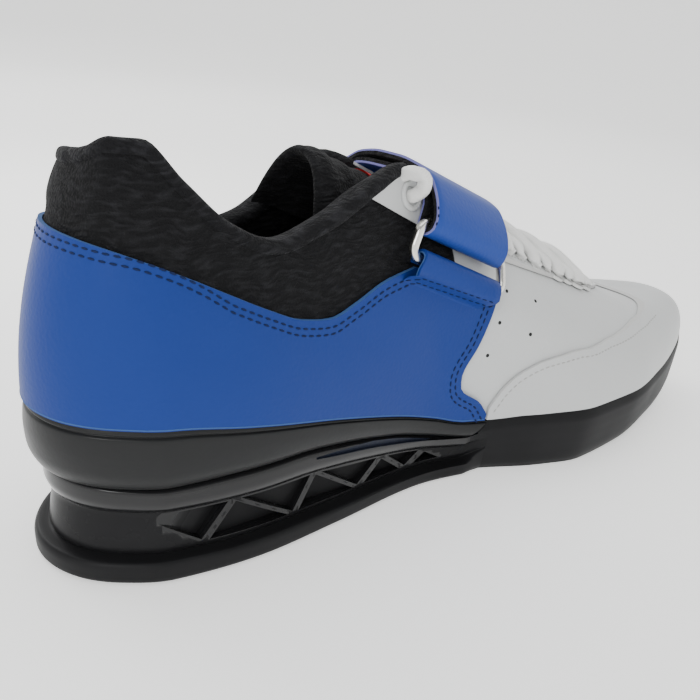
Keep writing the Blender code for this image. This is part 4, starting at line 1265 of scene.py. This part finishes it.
def build_outsole():
    step = math.acos(-STEP_X / (LENGTH / 2))
    angles = np.sort(np.concatenate([ANGLES, [step, 2 * math.pi - step]]))
    rows, finish = sole_rows(angles)
    sole = band("outsole_skin", rows, materials()["rubber"])
    spots, values = np.concatenate(rows) * MILLIMETRE, np.concatenate(finish)
    tree = KDTree(len(spots))
    for number, spot in enumerate(spots):
        tree.insert(spot, number)
    tree.balance()
    layer = sole.data.attributes.new("rough", "FLOAT", "POINT")
    for vert, datum in zip(sole.data.vertices, layer.data):
        datum.value = values[tree.find(vert.co)[1]]
    cut(sole, pocket_cutter(), "DIFFERENCE")
    cut(sole, slot_cutter(), "DIFFERENCE")
    return show(sole, ("outsole",))


def midsole_rows(angle):
    rows = []
    low, high, floor = (float(height(name, STEP_X / 2)) for name in ("midsole_low", "rim", "footbed"))
    fine = np.linspace(0, len(MIDSOLE_SIDE) - 1, MIDSOLE_STEPS * (len(MIDSOLE_SIDE) - 1) + 1)
    side = smooth(np.arange(len(MIDSOLE_SIDE)), np.array(MIDSOLE_SIDE), fine)
    inner = [(1.0, CUP_LIP_INSET), ((floor - low) / (high - low), CUP_FLOOR_INSET)]
    for number, (share, inset) in enumerate(list(side) + inner):
        front = math.acos((MIDSOLE_END - share * STEP_X) / (LENGTH / 2))
        flat = edge(np.linspace(-front, front, len(angle)), inset)
        x = flat[:, 0]
        low_z, high_z = height("midsole_low", x), height("rim", x)
        z = height("footbed", x) if number == len(side) + 1 else low_z + share * (high_z - low_z)
        rows.append(with_height(flat, z))
    return rows


def build_midsole():
    angle = np.radians(np.linspace(-90.0, 90.0, 121))
    item = band("midsole_skin", midsole_rows(angle), materials()["foam"], closed=False)
    return show(item, ("midsole",))


def build_insole():
    inset = CUP_FLOOR_INSET + 2 * GAP + WALL + INSOLE_PLAY
    rows = []
    for rise, more in ((0.0, 0.0), (INSOLE_WALL - 1.0, 0.0), (INSOLE_WALL - 0.2, 0.4), (INSOLE_WALL, 1.2)):
        flat = edge(ANGLES, inset + more)
        rows.append(with_height(flat, height("footbed", flat[:, 0]) + GAP + rise))
    return show(band("insole_cloth", rows, materials()["lining"]), ("insole",))


def build_upper():
    """Outer skin, rim and lining of the hollow upper, as one closed wall."""
    grid = upper_grid(ANGLES, FINE_UP)
    normals = normals_of(grid)
    across, up = np.meshgrid(ANGLES, FINE_UP)
    share = collar_share(across, up)
    wall = WALL + (COLLAR_WALL - WALL) * share
    rise = np.clip((up - COLLAR_SWELL_FROM) / COLLAR_SWELL_SPAN, 0.0, 1.0)
    swell = share * (COLLAR_SWELL * np.sin(math.pi * rise) - COLLAR_PINCH * blend(0.93, 1.0, up))
    outer = grid + normals * (swell * blend(0.72, 0.80, up))[..., None]
    inner = grid - normals * wall[..., None]
    lip = edge(ANGLES, CUP_LIP_INSET + GAP)
    floor = edge(ANGLES, CUP_FLOOR_INSET + GAP)
    deep = edge(ANGLES, CUP_FLOOR_INSET + GAP + WALL)
    bed = height("footbed", floor[:, 0]) + GAP
    rows = [
        with_height(floor, bed),
        with_height(lip, feather_line(ANGLES)[:, 2]),
        *outer,
        *inner[::-1],
        with_height(deep, bed + 2.0),
        with_height(deep, bed),
    ]
    count, rim = len(ANGLES), 1 + len(outer)
    faces = [
        face for face in grid_faces(len(rows), count)
        if not (face[0] // count == rim and RIDGE[face[0] % count] and RIDGE[face[1] % count])
    ]
    last = (len(rows) - 1) * count
    faces += [(last + k, last + (k + 1) % count, (k + 1) % count, k) for k in range(count)]
    item = make_object("upper_skin", np.concatenate(rows), faces, materials()["upper"])
    return show(item, ("upper",))


def build_binding():
    """The rolled binding over the collar's edge, whose two ends meet at the back of the heel."""
    limit = math.acos(1 - 2 * BINDING_END_T)
    high = chosen("binding")
    angles = np.linspace(-limit, limit, 181)
    step = 0.02
    top = upper_point(angles, 1.0)
    up = unit(top - upper_point(angles, 1 - step))
    out = unit(np.cross(upper_point(angles + step, 1.0) - upper_point(angles - step, 1.0), up))
    half = (WALL + (COLLAR_WALL - WALL) * collar_share(angles, 1.0)) / 2
    proud = BINDING_PROUD * blend(0.34, 0.41, length_share(angles))
    centre = top + out * (proud - half)[:, None] - up * BINDING_SINK
    bulge = 1.0 + SEAM_SWELL * np.exp(-((angles / SEAM_WIDTH) ** 2))
    sizes = np.stack([(half + BINDING_OVER + proud) * bulge, high * bulge], axis=-1)
    sections = oval(1.0, 1.0, 24, 0.72) * sizes[:, None]
    return show(sweep("collar_binding", centre, sections, up, materials()["binding"]))


def overlay(name, replaced, tool, made_of, wall=OVERLAY_WALL):
    """A panel that lies on the upper: a larger form of it, kept only inside the tool."""
    grid = upper_grid(ANGLES, FINE_UP)
    grid = grid + normals_of(grid) * GAP
    faces = grid_faces(len(FINE_UP), len(ANGLES))
    panel = make_object(name, grid.reshape(-1, 3), faces, made_of)
    solid = panel.modifiers.new("wall", "SOLIDIFY")
    solid.thickness = wall * MILLIMETRE
    solid.offset = 1
    solid.use_rim = True
    cut(panel, tool, "INTERSECT")
    return show(panel, replaced)


def build_counter():
    top = curve_through(COUNTER_TOP, 2.5)
    front = curve_through(COUNTER_FRONT, 2.5)
    outline = np.concatenate([top, front, np.array(COUNTER_BOTTOM)])
    tool = prism(outline, 1, -CUTTER_REACH, CUTTER_REACH, materials()["raw"])
    return overlay("counter_skin", ("counter",), tool, materials()["blue"])


def build_counter_edge():
    """The raw edge that shows along the counter's foot."""
    angles = np.linspace(-COUNTER_EDGE_ANGLE, COUNTER_EDGE_ANGLE, 161)
    low, high = upper_point(angles, 0.002), upper_point(angles, 0.03)
    climb = unit(high - low)
    out = unit(np.cross(np.gradient(low, axis=0), climb))
    centre = low + out * (GAP + 0.5 * OVERLAY_WALL) + climb * 0.25
    section = oval(0.5 * OVERLAY_WALL + 0.1, 0.3, 10)
    return show(sweep("counter_raw_edge", centre, section, climb, materials()["raw"]))


def build_counter_stitches():
    """Two rows along the counter's top, across under the ring's tab, and down its front edge."""
    tree = surface_of(bpy.data.objects["counter_skin"], bpy.data.objects["ring_tab_band"])
    top = curve_through(COUNTER_TOP, 1.0)
    front = evenly(np.concatenate([[COUNTER_TOP[-1]], curve_through(COUNTER_FRONT, 1.0)]), 0.7)
    spacing = chosen("stitch_spacing")
    rows = []
    for drop in COUNTER_STITCH_DROPS:
        places, ways = heel_rays(top[:-2], drop)
        rows.append(dropped(tree, places, ways, spacing))
        points = side_points(inset_line(front, drop), 0.7)
        points = points[points[:, 0] > COUNTER_TOP[-1][0] - 0.2 * drop]
        rows += [dropped(tree, points, way, spacing) for way in BOTH_WAYS]
    stitch_rows("counter_stitches", rows, materials()["blue_thread"], chosen("stitch_length"))


def build_toe_guard():
    rear = curve_through(TOE_GUARD_EDGE, 2.5)
    outline = np.concatenate([rear, np.array(TOE_GUARD_REST)])
    tool = prism(outline, 1, -CUTTER_REACH, CUTTER_REACH, materials()["white_edge"])
    white = materials()["white"]
    guard = overlay("toe_guard_skin", ("toe_guard",), tool, white, TOE_GUARD_WALL)
    tree = surface_of(guard)
    points = side_points(inset_line(rear[rear[:, 0] < TOE_GUARD_STITCHES_TO], TOE_GUARD_STITCH_DROP), 0.8)
    rows = [dropped(tree, points, way, WHITE_STITCH_SPACING) for way in BOTH_WAYS]
    stitch_rows("toe_guard_stitches", rows, materials()["white_thread"], *WHITE_STITCH)
    return guard


def build_eyestay():
    side = curve_through(EYESTAY_SIDE, 3.0)
    half = np.concatenate([np.array(EYESTAY_REAR), side])
    whole = np.concatenate([half * (1, -1), half[::-1]])
    low = EYESTAY_LOW_Z - EYESTAY_LOW_SLOPE * whole[:, 0]
    tool = prism(whole, 2, low, CUTTER_TOP, materials()["white_edge"])
    stay = overlay("eyestay_skin", ("eyestay",), tool, materials()["white"])
    tree = surface_of(stay)
    line = evenly(inset_line(side[side[:, 0] > EYESTAY_STITCHES_FROM], EYESTAY_STITCH_DROP), 0.8)
    rows = []
    for sign in (-1, 1):
        rows.append(dropped(tree, with_height(line * (1, sign), 90.0), (0, 0, -1), WHITE_STITCH_SPACING))
    stitch_rows("eyestay_stitches", rows, materials()["white_thread"], *WHITE_STITCH)
    return stay


def tongue_row(values, bends):
    x, crown, half, drop, lean, pad = values
    fall = drop * (1 - np.cos(bends))
    outer = np.stack([x - lean * fall, half * np.sin(bends), crown - fall], axis=-1)
    into = unit(np.stack([0.35 * np.cos(bends), -np.sin(bends), -np.cos(bends)], axis=-1))
    return outer, into, pad


def build_tongue():
    """A padded arch whose free end is rounded over."""
    count = 33
    bends = np.radians(np.linspace(-TONGUE_ARC, TONGUE_ARC, count))
    table = np.array(TONGUE)
    fine = np.linspace(0, len(table) - 1, 70)
    rows = smooth(np.arange(len(table)), table, fine)
    edge_thin = np.clip((1 - np.abs(np.linspace(-1, 1, count)) ** 6), 0.25, 1.0)[:, None]
    loops = []
    for values in rows:
        outer, into, pad = tongue_row(values, bends)
        quilted = values[0] < QUILT_FROM
        quilt = QUILT_DEPTH * np.sin(values[0] * 2 * math.pi / QUILT_PITCH) * edge_thin if quilted else 0.0
        inner = outer + into * pad * edge_thin
        loops.append(np.concatenate([outer - into * quilt, inner[::-1]]))
    last = loops[-1]
    centre = (last[:count] + last[::-1][:count]) / 2
    centre = np.concatenate([centre, centre[::-1]])
    for share, push in TONGUE_END:
        moved = centre + (last - centre) * share
        moved[:, 0] -= push
        loops.append(moved)
    item = make_object("tongue_cloth", np.concatenate(loops), folded_faces(loops), materials()["knit"])
    return show(item, ("tongue",))


def strap_frame(along, y, rise):
    """From the strap's own axes to the shoe's: along its width, across the shoe, and off the instep."""
    slope = math.radians(STRAP_SLOPE)
    low = np.clip((rise - STRAP_FLARE_RISES[0]) / np.diff(STRAP_FLARE_RISES)[0], 0.0, 1.0)
    y = y + np.sign(y) * (STRAP_FLARE * along * low)
    along = along + STRAP_SKEW * y
    x = STRAP_CROWN[0] + along * math.cos(slope) + rise * math.sin(slope)
    z = STRAP_CROWN[2] - along * math.sin(slope) + rise * math.cos(slope)
    return np.stack([x + 0 * y, y + 0 * x, z + 0 * y], axis=-1)


def bend(centre, radius, start, end, steps):
    angles = np.radians(np.linspace(start, end, steps))
    return [(centre[0] + radius * math.cos(a), centre[1] + radius * math.sin(a)) for a in angles]


def webbing(name, path, width, wall, faces_of):
    """A flat band: a lining face and an outer face, whose edges show both layers."""
    path = curve_through(path, 1.2)
    along = unit(np.gradient(path, axis=0))
    out = np.stack([along[:, 1], -along[:, 0]], axis=-1)
    layers = []
    for level, pull in WEBBING_LEVELS:
        flat = path + out * level * wall
        shares = np.linspace(-0.5, 0.5, 13)
        layers.append([strap_frame(s * (width - pull), flat[:, 0], flat[:, 1]) for s in shares])
    points = np.array(layers)
    ids = np.arange(points.size // 3).reshape(points.shape[:3])
    sheets = [(ids[0], 0), (ids[-1], 1)]
    for level, mark in enumerate((0, 0, 2, 2)):
        pair = ids[level:level + 2]
        sheets += [(pair[:, end], mark) for end in (0, -1)]
        sheets += [(pair[:, :, end], mark) for end in (0, -1)]
    faces, marks = [], []
    for sheet, mark in sheets:
        corners = (sheet[:-1, :-1], sheet[:-1, 1:], sheet[1:, 1:], sheet[1:, :-1])
        faces += np.stack(corners, axis=-1).reshape(-1, 4).tolist()
        marks += [mark] * (len(faces) - len(marks))
    item = make_object(name, points.reshape(-1, 3), faces, *faces_of, weld=False)
    item.data.polygons.foreach_set("material_index", marks)
    turn_outwards(item)
    return item


def turn_outwards(item):
    made = bmesh.new()
    made.from_mesh(item.data)
    bmesh.ops.recalc_face_normals(made, faces=made.faces)
    made.to_mesh(item.data)
    made.free()


def build_strap():
    width = chosen("strap_width")
    fold = RING_WIRE / 2 + GAP + FOLD_PLAY + STRAP_WALL / 2
    path = list(STRAP_INNER) + bend(RING_UPPER_BAR, fold, -15.0, -195.0, 7) + list(STRAP_OUTER)
    # The outer half of the strap's cut edges takes the painted edge highlight
    parts = (materials()["loop"], materials()["strap"], materials()["purple"])
    item = webbing("strap_band", path, width, STRAP_WALL, parts)
    show(item, ("strap",))
    tree = surface_of(item)
    rises = np.linspace(*STRAP_STITCH_RISES, 20)
    line = strap_frame(STRAP_STITCH_INSET - width / 2, -60.0, rises)
    rows = [dropped(tree, line, (0, 1, 0), STRAP_STITCH_SPACING)]
    stitch_rows("strap_stitches", rows, materials()["blue_thread"], *STRAP_STITCH)
    return item


def build_ring_tab():
    """The tab round the ring's lower bar, whose outer leg runs out into the counter."""
    fold = RING_WIRE / 2 + GAP + FOLD_PLAY + TAB_WALL / 2
    path = list(TAB_INNER) + bend(RING_LOWER_BAR, fold, 0.0, 180.0, 7) + list(TAB_OUTER)
    parts = (materials()["blue"], materials()["blue"], materials()["raw"])
    item = webbing("ring_tab_band", path, TAB_WIDTH, TAB_WALL, parts)
    skin = surface_of(bpy.data.objects["counter_skin"])
    slope = math.radians(STRAP_SLOPE)
    for vert in item.data.vertices:
        x, y, z = np.array(vert.co) / MILLIMETRE
        rise = (x - STRAP_CROWN[0]) * math.sin(slope) + (z - STRAP_CROWN[2]) * math.cos(slope)
        low = float(blend(TAB_RUN_OUT[0], TAB_RUN_OUT[1], rise))
        if low <= 0.0 or y > RING_LOWER_BAR[0]:
            continue
        place = skin.ray_cast(Vector((vert.co.x, -CAST_REACH, vert.co.z)), Vector((0, 1, 0)))[0]
        if place is not None:
            vert.co.y += (place.y + 0.0003 - vert.co.y) * low
    return show(item, ("ring_tab",))


def build_ring():
    upper, lower = np.array(RING_UPPER_BAR), np.array(RING_LOWER_BAR)
    middle, half_high = (upper + lower) / 2, (upper - lower) / 2
    tall = np.linalg.norm(half_high)
    reach = RING_LENGTH / 2 - RING_CORNER
    points = []
    for turn, (side, top) in enumerate(((1, 1), (-1, 1), (-1, -1), (1, -1))):
        for angle in np.radians(np.linspace(turn * 90.0, turn * 90.0 + 90.0, 12)):
            along = side * reach + RING_CORNER * math.cos(angle)
            high = top * (tall - RING_CORNER) + RING_CORNER * math.sin(angle)
            y, rise = middle + half_high / tall * high
            points.append(strap_frame(along, y, rise))
    points = np.array(points)
    normal = unit(np.cross(points[12] - points[0], points[24] - points[0]))
    ups = np.tile(normal, (len(points), 1))
    section = oval(RING_WIRE / 2, RING_WIRE / 2, 20, 0.75)
    item = sweep("ring_wire", points, section, ups, materials()["steel"], closed=True)
    return show(item, ("ring",))


def lace_end(x, side):
    angle = side_angle(x, side)
    step = 0.01
    along = upper_point(angle + step, LACE_UP) - upper_point(angle - step, LACE_UP)
    climb = unit(upper_point(angle, LACE_UP + step) - upper_point(angle, LACE_UP - step))
    return upper_point(angle, LACE_UP), unit(np.cross(along, climb)), climb


def lace_run(start_x, end_x, side, raised, lift):
    """From one eyelet over the tongue to the other, with both ends sunk into the leather."""
    start, start_out, first_way = lace_end(start_x, side)
    end, end_out, last_way = lace_end(end_x, -side)
    begin, finish = start + start_out * lift, end + end_out * lift
    s = np.linspace(0.0, 1.0, 25)[:, None]
    first, last = begin + first_way * LACE_REACH, finish + last_way * LACE_REACH
    run = begin * (1 - s) ** 3 + first * 3 * s * (1 - s) ** 2 + last * 3 * s * s * (1 - s) + finish * s**3
    run[:, 2:] += raised * np.sin(math.pi * s) ** 2
    head = [start + start_out * k - first_way * back for k, back in LACE_SUNK]
    tail = [end + end_out * k - last_way * back for k, back in reversed(LACE_SUNK)]
    return np.concatenate([head, run[1:-1], tail])


def woven(name, path, wide, thick, ups):
    """A lace with a texture map that runs along and round it."""
    path = curve_through(path, 1.0)
    section = oval(wide / 2, thick / 2, 16, 0.75)
    item = sweep(name, path, section, np.broadcast_to(ups, path.shape), materials()["lace"], sharp=80.0)
    layer = item.data.uv_layers.new(name="UVMap")
    points = np.array([vert.co for vert in item.data.vertices]) / MILLIMETRE
    nearest = ((points[:, None] - path[None]) ** 2).sum(axis=2).argmin(axis=1)
    off = points - path[nearest]
    up = unit(np.asarray(ups, float))
    across = unit(np.cross(unit(np.gradient(path, axis=0)), up))[nearest]
    spot = np.stack([nearest * 1.0, (off * across).sum(axis=1)], axis=-1)
    for loop in item.data.loops:
        layer.data[loop.index].uv = spot[loop.vertex_index]
    return item


def build_laces():
    apart = LACE_WIDTH / 2 + GAP
    for number, (back, front) in enumerate(zip(LACE_STATIONS, LACE_STATIONS[1:]), start=1):
        ends = (back + apart, front - apart)
        low, high = lace_run(*ends, -1, 0.0, LACE_LIFT), lace_run(*ends, 1, OVER_RAISE, LACE_LIFT)
        under = woven(f"lace_under_{number}", low, LACE_WIDTH, LACE_THICK, LACE_TILT)
        show(under, (f"lace_cross_{number}",))
        show(woven(f"lace_over_{number}", high, *OVER_LACE, LACE_TILT))
    bar = LACE_STATIONS[-1] + apart
    run = lace_run(bar, bar, -1, 0.0, LACE_LIFT - LACE_BAR_DROP)
    show(woven("lace_front_bar", run, LACE_WIDTH, LACE_THICK, LACE_TILT), ("lace_bar",))


def eyelet(name, place, out, radius, tube):
    """A raised punched ring."""
    turns = np.linspace(0.0, 2 * math.pi, 33)[:-1, None]
    side = unit(np.cross(out, (0.3, 0.1, 0.9)))
    path = place + radius * (np.cos(turns) * side + np.sin(turns) * np.cross(out, side))
    ups = np.tile(out, (len(path), 1))
    return show(sweep(name, path, oval(tube, tube * 0.8, 10, 1.0), ups, materials()["white"], closed=True))


def build_top_eyelets():
    """The punched eyelets of the end panels, with the lace that comes out of each."""
    stay = surface_of(bpy.data.objects["eyestay_skin"])
    for side, label in ((-1, "medial"), (1, "lateral")):
        x, z = TOP_EYELET
        points = [(x - 0.5, 0.0, z), (x, 0.0, z), (x + 0.5, 0.0, z)]
        places, _, outs = dropped(stay, points, (0, -side, 0))
        if len(places) < 3:
            raise RuntimeError("the top eyelet found no panel")
        place, out = places[1], outs[1]
        eyelet(f"top_eyelet_{label}", place + out * 0.3, out, EYELET_RADIUS, EYELET_TUBE)
        climb = unit(np.cross(out, (side * 1.0, 0.0, 0.0)) * (1, 1, side))
        climb = climb * np.sign(climb[2])
        size = 1.0 if side < 0 else LATERAL_LOOP_SHARE
        loop = [place - out * 1.0, place + out * 1.6]
        for off, rise, ahead in TOP_LOOP:
            loop.append(place + (out * off + climb * rise + np.array((ahead, 0.0, 0.0))) * size)
        show(woven(f"top_lace_{label}", loop, *TOP_LACE, (1.0, 0.0, 0.2)))


def build_vents():
    """Small discs of painted shade on the vamp that stand for holes through it."""
    skin = surface_of(bpy.data.objects["upper_skin"])
    points = [(x, 0.0, z) for x, z in VENT_HOLES]
    rows = [dropped(skin, points, way) for way in BOTH_WAYS]
    wide = chosen("vent_width")
    # Each vent is a flat dark disc of painted shade; the vamp is not cut through
    stitch_rows("vent_holes", rows, materials()["hole"], wide, wide, VENT_DEPTH)


def build_label():
    """A folded red label and its white backing on the tongue, left blank."""
    bends = np.radians(np.linspace(-LABEL_ARC, LABEL_ARC, 21))
    table = np.array(TONGUE)
    for name, first, last, made_of in LABELS:
        loops = []
        for x in np.linspace(first, last, 6):
            place = np.interp(-x, -table[:, 0], np.arange(len(table)))
            values = smooth(np.arange(len(table)), table, np.array([place]))[0]
            outer, into, _ = tongue_row(values, bends)
            low, high = outer - into * LABEL_LIFT, outer - into * (LABEL_LIFT + LABEL_WALL)
            loops.append(np.concatenate([high, low[::-1]]))
        show(make_object(name, np.concatenate(loops), folded_faces(loops), materials()[made_of]))


# Stage, light and camera

def floor_material():
    """Pale paper with a painted pool of light, brightest at a spot beyond the shoe, whose emission adds a
    painted glow in the same tones.
    """
    made, nodes, shader = new_material("floor_paper", PAPER, 0.8, gloss=0.1)
    # Painted pool of light: the paper's tone falls with distance from its centre
    spots = {0: nodes.place(), 1: PAINTED_LIGHT_POOL_CENTRE}
    far = nodes.add("ShaderNodeVectorMath", spots, operation="DISTANCE").outputs["Value"]
    ramp = nodes.add("ShaderNodeValToRGB", {"Fac": nodes.ramp(far, 0.0, 1.0)})
    ramp.color_ramp.interpolation = "B_SPLINE"
    stops = ramp.color_ramp.elements
    for at, _ in FLOOR_PAINTED_LIGHT_TONES[2:]:
        stops.new(at)
    for stop, (at, tone) in zip(stops, FLOOR_PAINTED_LIGHT_TONES):
        stop.position = at
        stop.color = (tone, tone, tone * 0.99, 1.0)
    # Painted light: the ramp of the painted pool of light is both the paper's colour and the colour of its
    # painted glow
    for name in ("Base Color", "Emission Color"):
        nodes.put(shader.inputs[name], ramp.outputs["Color"])
    shader.inputs["Emission Strength"].default_value = FLOOR_PAINTED_GLOW
    return made


def build_stage():
    made = bmesh.new()
    bmesh.ops.create_grid(made, x_segments=60, y_segments=60, size=FLOOR_HALF)
    for vert in made.verts:
        vert.co.z = FLOOR_RISE * max(0.0, vert.co.xy.length - FLOOR_FLAT) ** 1.5
    mesh = bpy.data.meshes.new("floor")
    made.to_mesh(mesh)
    made.free()
    mesh.materials.append(floor_material())
    mesh.shade_smooth()
    floor = add_object("floor", mesh)
    floor.location.z = FLOOR_LEVEL
    world = bpy.context.scene.world or bpy.data.worlds.new("studio")
    bpy.context.scene.world = world
    world.use_nodes = True
    sky = world.node_tree.nodes["Background"]
    sky.inputs["Color"].default_value = rgba(SKY)
    sky.inputs["Strength"].default_value = WORLD_LIGHT
    sun = bpy.data.lights.new("soft_sun", "SUN")
    sun.energy = SUN_LIGHT
    sun.angle = math.radians(SUN_SPREAD)
    high = add_object("soft_sun", sun)
    high.rotation_euler = [math.radians(turn) for turn in SUN_TURN]
    for name, place, size, power in LAMPS:
        light = bpy.data.lights.new(name, "AREA")
        light.size = size
        light.energy = power
        lamp = add_object(name, light)
        lamp.location = place
        lamp.rotation_mode = "QUATERNION"
        lamp.rotation_quaternion = (Vector(LAMP_TARGET) - Vector(place)).to_track_quat("-Z", "Y")


def build_camera():
    forward = np.array([
        math.cos(CAMERA_PITCH) * math.cos(CAMERA_YAW),
        math.cos(CAMERA_PITCH) * math.sin(CAMERA_YAW),
        -math.sin(CAMERA_PITCH),
    ])
    level = unit(np.cross(forward, (0.0, 0.0, 1.0)))
    above = np.cross(level, forward)
    right = math.cos(CAMERA_ROLL) * level + math.sin(CAMERA_ROLL) * above
    up = math.cos(CAMERA_ROLL) * above - math.sin(CAMERA_ROLL) * level
    lens = bpy.data.cameras.new("photo_camera")
    lens.sensor_width = 36.0
    lens.lens = CAMERA_LENS
    lens.clip_start = 0.01
    item = add_object("photo_camera", lens)
    columns = np.stack([right, up, -forward], axis=-1)
    place = np.array(CAMERA_PLACE) * MILLIMETRE
    item.matrix_world = Matrix([[*columns[k], place[k]] for k in range(3)] + [[0.0, 0.0, 0.0, 1.0]])
    bpy.context.scene.camera = item


# Operators

def length(name, description, default, smallest, largest):
    """A size that the sidebar shows, from millimetres."""
    return bpy.props.FloatProperty(
        name=name, description=description, default=default * MILLIMETRE, min=smallest * MILLIMETRE,
        max=largest * MILLIMETRE, unit="LENGTH", subtype="DISTANCE", precision=4,
    )


def tint(name, description, default):
    """A colour that the sidebar shows."""
    return bpy.props.FloatVectorProperty(
        name=name, description=description, default=default, min=0.0, max=1.0, size=3, subtype="COLOR",
    )


class ShoeSizes(bpy.types.PropertyGroup):
    """Sizes that a user would change"""

    binding: length("Binding", "Half the height of the collar's rolled edge", 2.5, 1.5, 4.0)
    strap_width: length("Strap width", "Width of the strap along the foot", STRAP_WIDTH, 30.0, 42.0)
    stitch_spacing: length("Stitch spacing", "From one stitch of the counter to the next", 2.9, 2.0, 6.0)
    stitch_length: length("Stitch length", "Length of one stitch of the counter", 2.2, 1.0, 4.0)
    vent_width: length("Vent width", "Width of a small hole of the vamp", 1.5, 0.6, 3.0)


class ShoeColours(bpy.types.PropertyGroup):
    """Colours that a user would change"""

    counter: tint("Counter", "Smooth synthetic of the counter and the ring's tab", BLUE)
    strap: tint("Strap", "Outer face of the strap", STRAP_BLUE)
    raw_edge: tint("Raw edge", "Cut edges of the blue pieces", RAW_EDGE)
    knit: tint("Knit", "Knit of the collar and tongue", BLACK_KNIT)
    leather: tint("Leather", "Smooth leather of the vamp, eyestay and toe guard", WHITE)
    lace: tint("Lace", "Woven laces", LACE_WHITE)
    rubber: tint("Rubber", "Moulded outsole", RUBBER_BLACK)
    foam: tint("Foam", "Wedge of the midsole", FOAM_GREY)
    label: tint("Label", "Blank label of the tongue", LABEL_RED)


class SHOE_OT_outsole(bpy.types.Operator):
    """Makes the rubber outsole with its truss and slot"""

    bl_idname = "shoe.outsole"
    bl_label = "Outsole"

    def execute(self, context):
        build_outsole()
        return {"FINISHED"}


class SHOE_OT_midsole(bpy.types.Operator):
    """Makes the foam wedge of the heel and the insole"""

    bl_idname = "shoe.midsole"
    bl_label = "Midsole and insole"

    def execute(self, context):
        build_midsole()
        build_insole()
        return {"FINISHED"}


class SHOE_OT_upper(bpy.types.Operator):
    """Makes the hollow upper and the rolled binding of its collar"""

    bl_idname = "shoe.upper"
    bl_label = "Upper"

    def execute(self, context):
        build_upper()
        build_binding()
        return {"FINISHED"}


class SHOE_OT_counter(bpy.types.Operator):
    """Makes the blue counter and the raw edge at its foot"""

    bl_idname = "shoe.counter"
    bl_label = "Counter"

    def execute(self, context):
        build_counter()
        build_counter_edge()
        return {"FINISHED"}


class SHOE_OT_toe_guard(bpy.types.Operator):
    """Makes the toe guard and its stitches"""

    bl_idname = "shoe.toe_guard"
    bl_label = "Toe guard"

    def execute(self, context):
        build_toe_guard()
        return {"FINISHED"}


class SHOE_OT_eyestay(bpy.types.Operator):
    """Makes the eyestay with its end panels"""

    bl_idname = "shoe.eyestay"
    bl_label = "Eyestay"

    def execute(self, context):
        build_eyestay()
        return {"FINISHED"}


class SHOE_OT_tongue(bpy.types.Operator):
    """Makes the padded tongue and its label"""

    bl_idname = "shoe.tongue"
    bl_label = "Tongue"

    def execute(self, context):
        build_tongue()
        build_label()
        return {"FINISHED"}


class SHOE_OT_strap(bpy.types.Operator):
    """Makes the strap that folds through the ring"""

    bl_idname = "shoe.strap"
    bl_label = "Strap"

    def execute(self, context):
        build_strap()
        return {"FINISHED"}


class SHOE_OT_ring(bpy.types.Operator):
    """Makes the ring and the tab that holds it"""

    bl_idname = "shoe.ring"
    bl_label = "Ring and tab"

    def execute(self, context):
        build_ring_tab()
        build_ring()
        return {"FINISHED"}


class SHOE_OT_laces(bpy.types.Operator):
    """Makes the laces and the top eyelets"""

    bl_idname = "shoe.laces"
    bl_label = "Laces"

    def execute(self, context):
        build_laces()
        build_top_eyelets()
        return {"FINISHED"}


class SHOE_OT_stitches(bpy.types.Operator):
    """Makes the double row of stitches of the counter"""

    bl_idname = "shoe.stitches"
    bl_label = "Counter stitches"

    def execute(self, context):
        build_counter_stitches()
        return {"FINISHED"}


class SHOE_OT_vents(bpy.types.Operator):
    """Makes the small holes of the vamp"""

    bl_idname = "shoe.vents"
    bl_label = "Vent holes"

    def execute(self, context):
        build_vents()
        return {"FINISHED"}


class SHOE_OT_stage(bpy.types.Operator):
    """Makes the floor, the lights and the camera"""

    bl_idname = "shoe.stage"
    bl_label = "Stage"

    def execute(self, context):
        build_stage()
        build_camera()
        return {"FINISHED"}


OPERATORS = (
    SHOE_OT_outsole,
    SHOE_OT_midsole,
    SHOE_OT_upper,
    SHOE_OT_counter,
    SHOE_OT_toe_guard,
    SHOE_OT_eyestay,
    SHOE_OT_tongue,
    SHOE_OT_strap,
    SHOE_OT_ring,
    SHOE_OT_laces,
    SHOE_OT_stitches,
    SHOE_OT_vents,
    SHOE_OT_stage,
)
CLASSES = (ShoeSizes, ShoeColours, *OPERATORS)


class SHOE_PT_panel(bpy.types.Panel):
    """Lists the shoe's sizes, colours and pieces"""

    bl_idname = "SHOE_PT_panel"
    bl_label = "Weightlifting shoe"
    bl_space_type = "VIEW_3D"
    bl_region_type = "UI"
    bl_category = "Shoe"

    def draw(self, context):
        for group in (context.scene.shoe_sizes, context.scene.shoe_colours):
            for name in type(group).__annotations__:
                self.layout.prop(group, name)
        for step in OPERATORS:
            self.layout.operator(step.bl_idname)


def register():
    for made in (*CLASSES, SHOE_PT_panel):
        bpy.utils.register_class(made)
    bpy.types.Scene.shoe_sizes = bpy.props.PointerProperty(type=ShoeSizes)
    bpy.types.Scene.shoe_colours = bpy.props.PointerProperty(type=ShoeColours)


def unregister():
    del bpy.types.Scene.shoe_sizes
    del bpy.types.Scene.shoe_colours
    for made in reversed((*CLASSES, SHOE_PT_panel)):
        bpy.utils.unregister_class(made)


def main():
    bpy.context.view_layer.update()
    register()
    for made in OPERATORS:
        group, name = made.bl_idname.split(".")
        getattr(getattr(bpy.ops, group), name)()


if __name__ == "__main__":
    main()
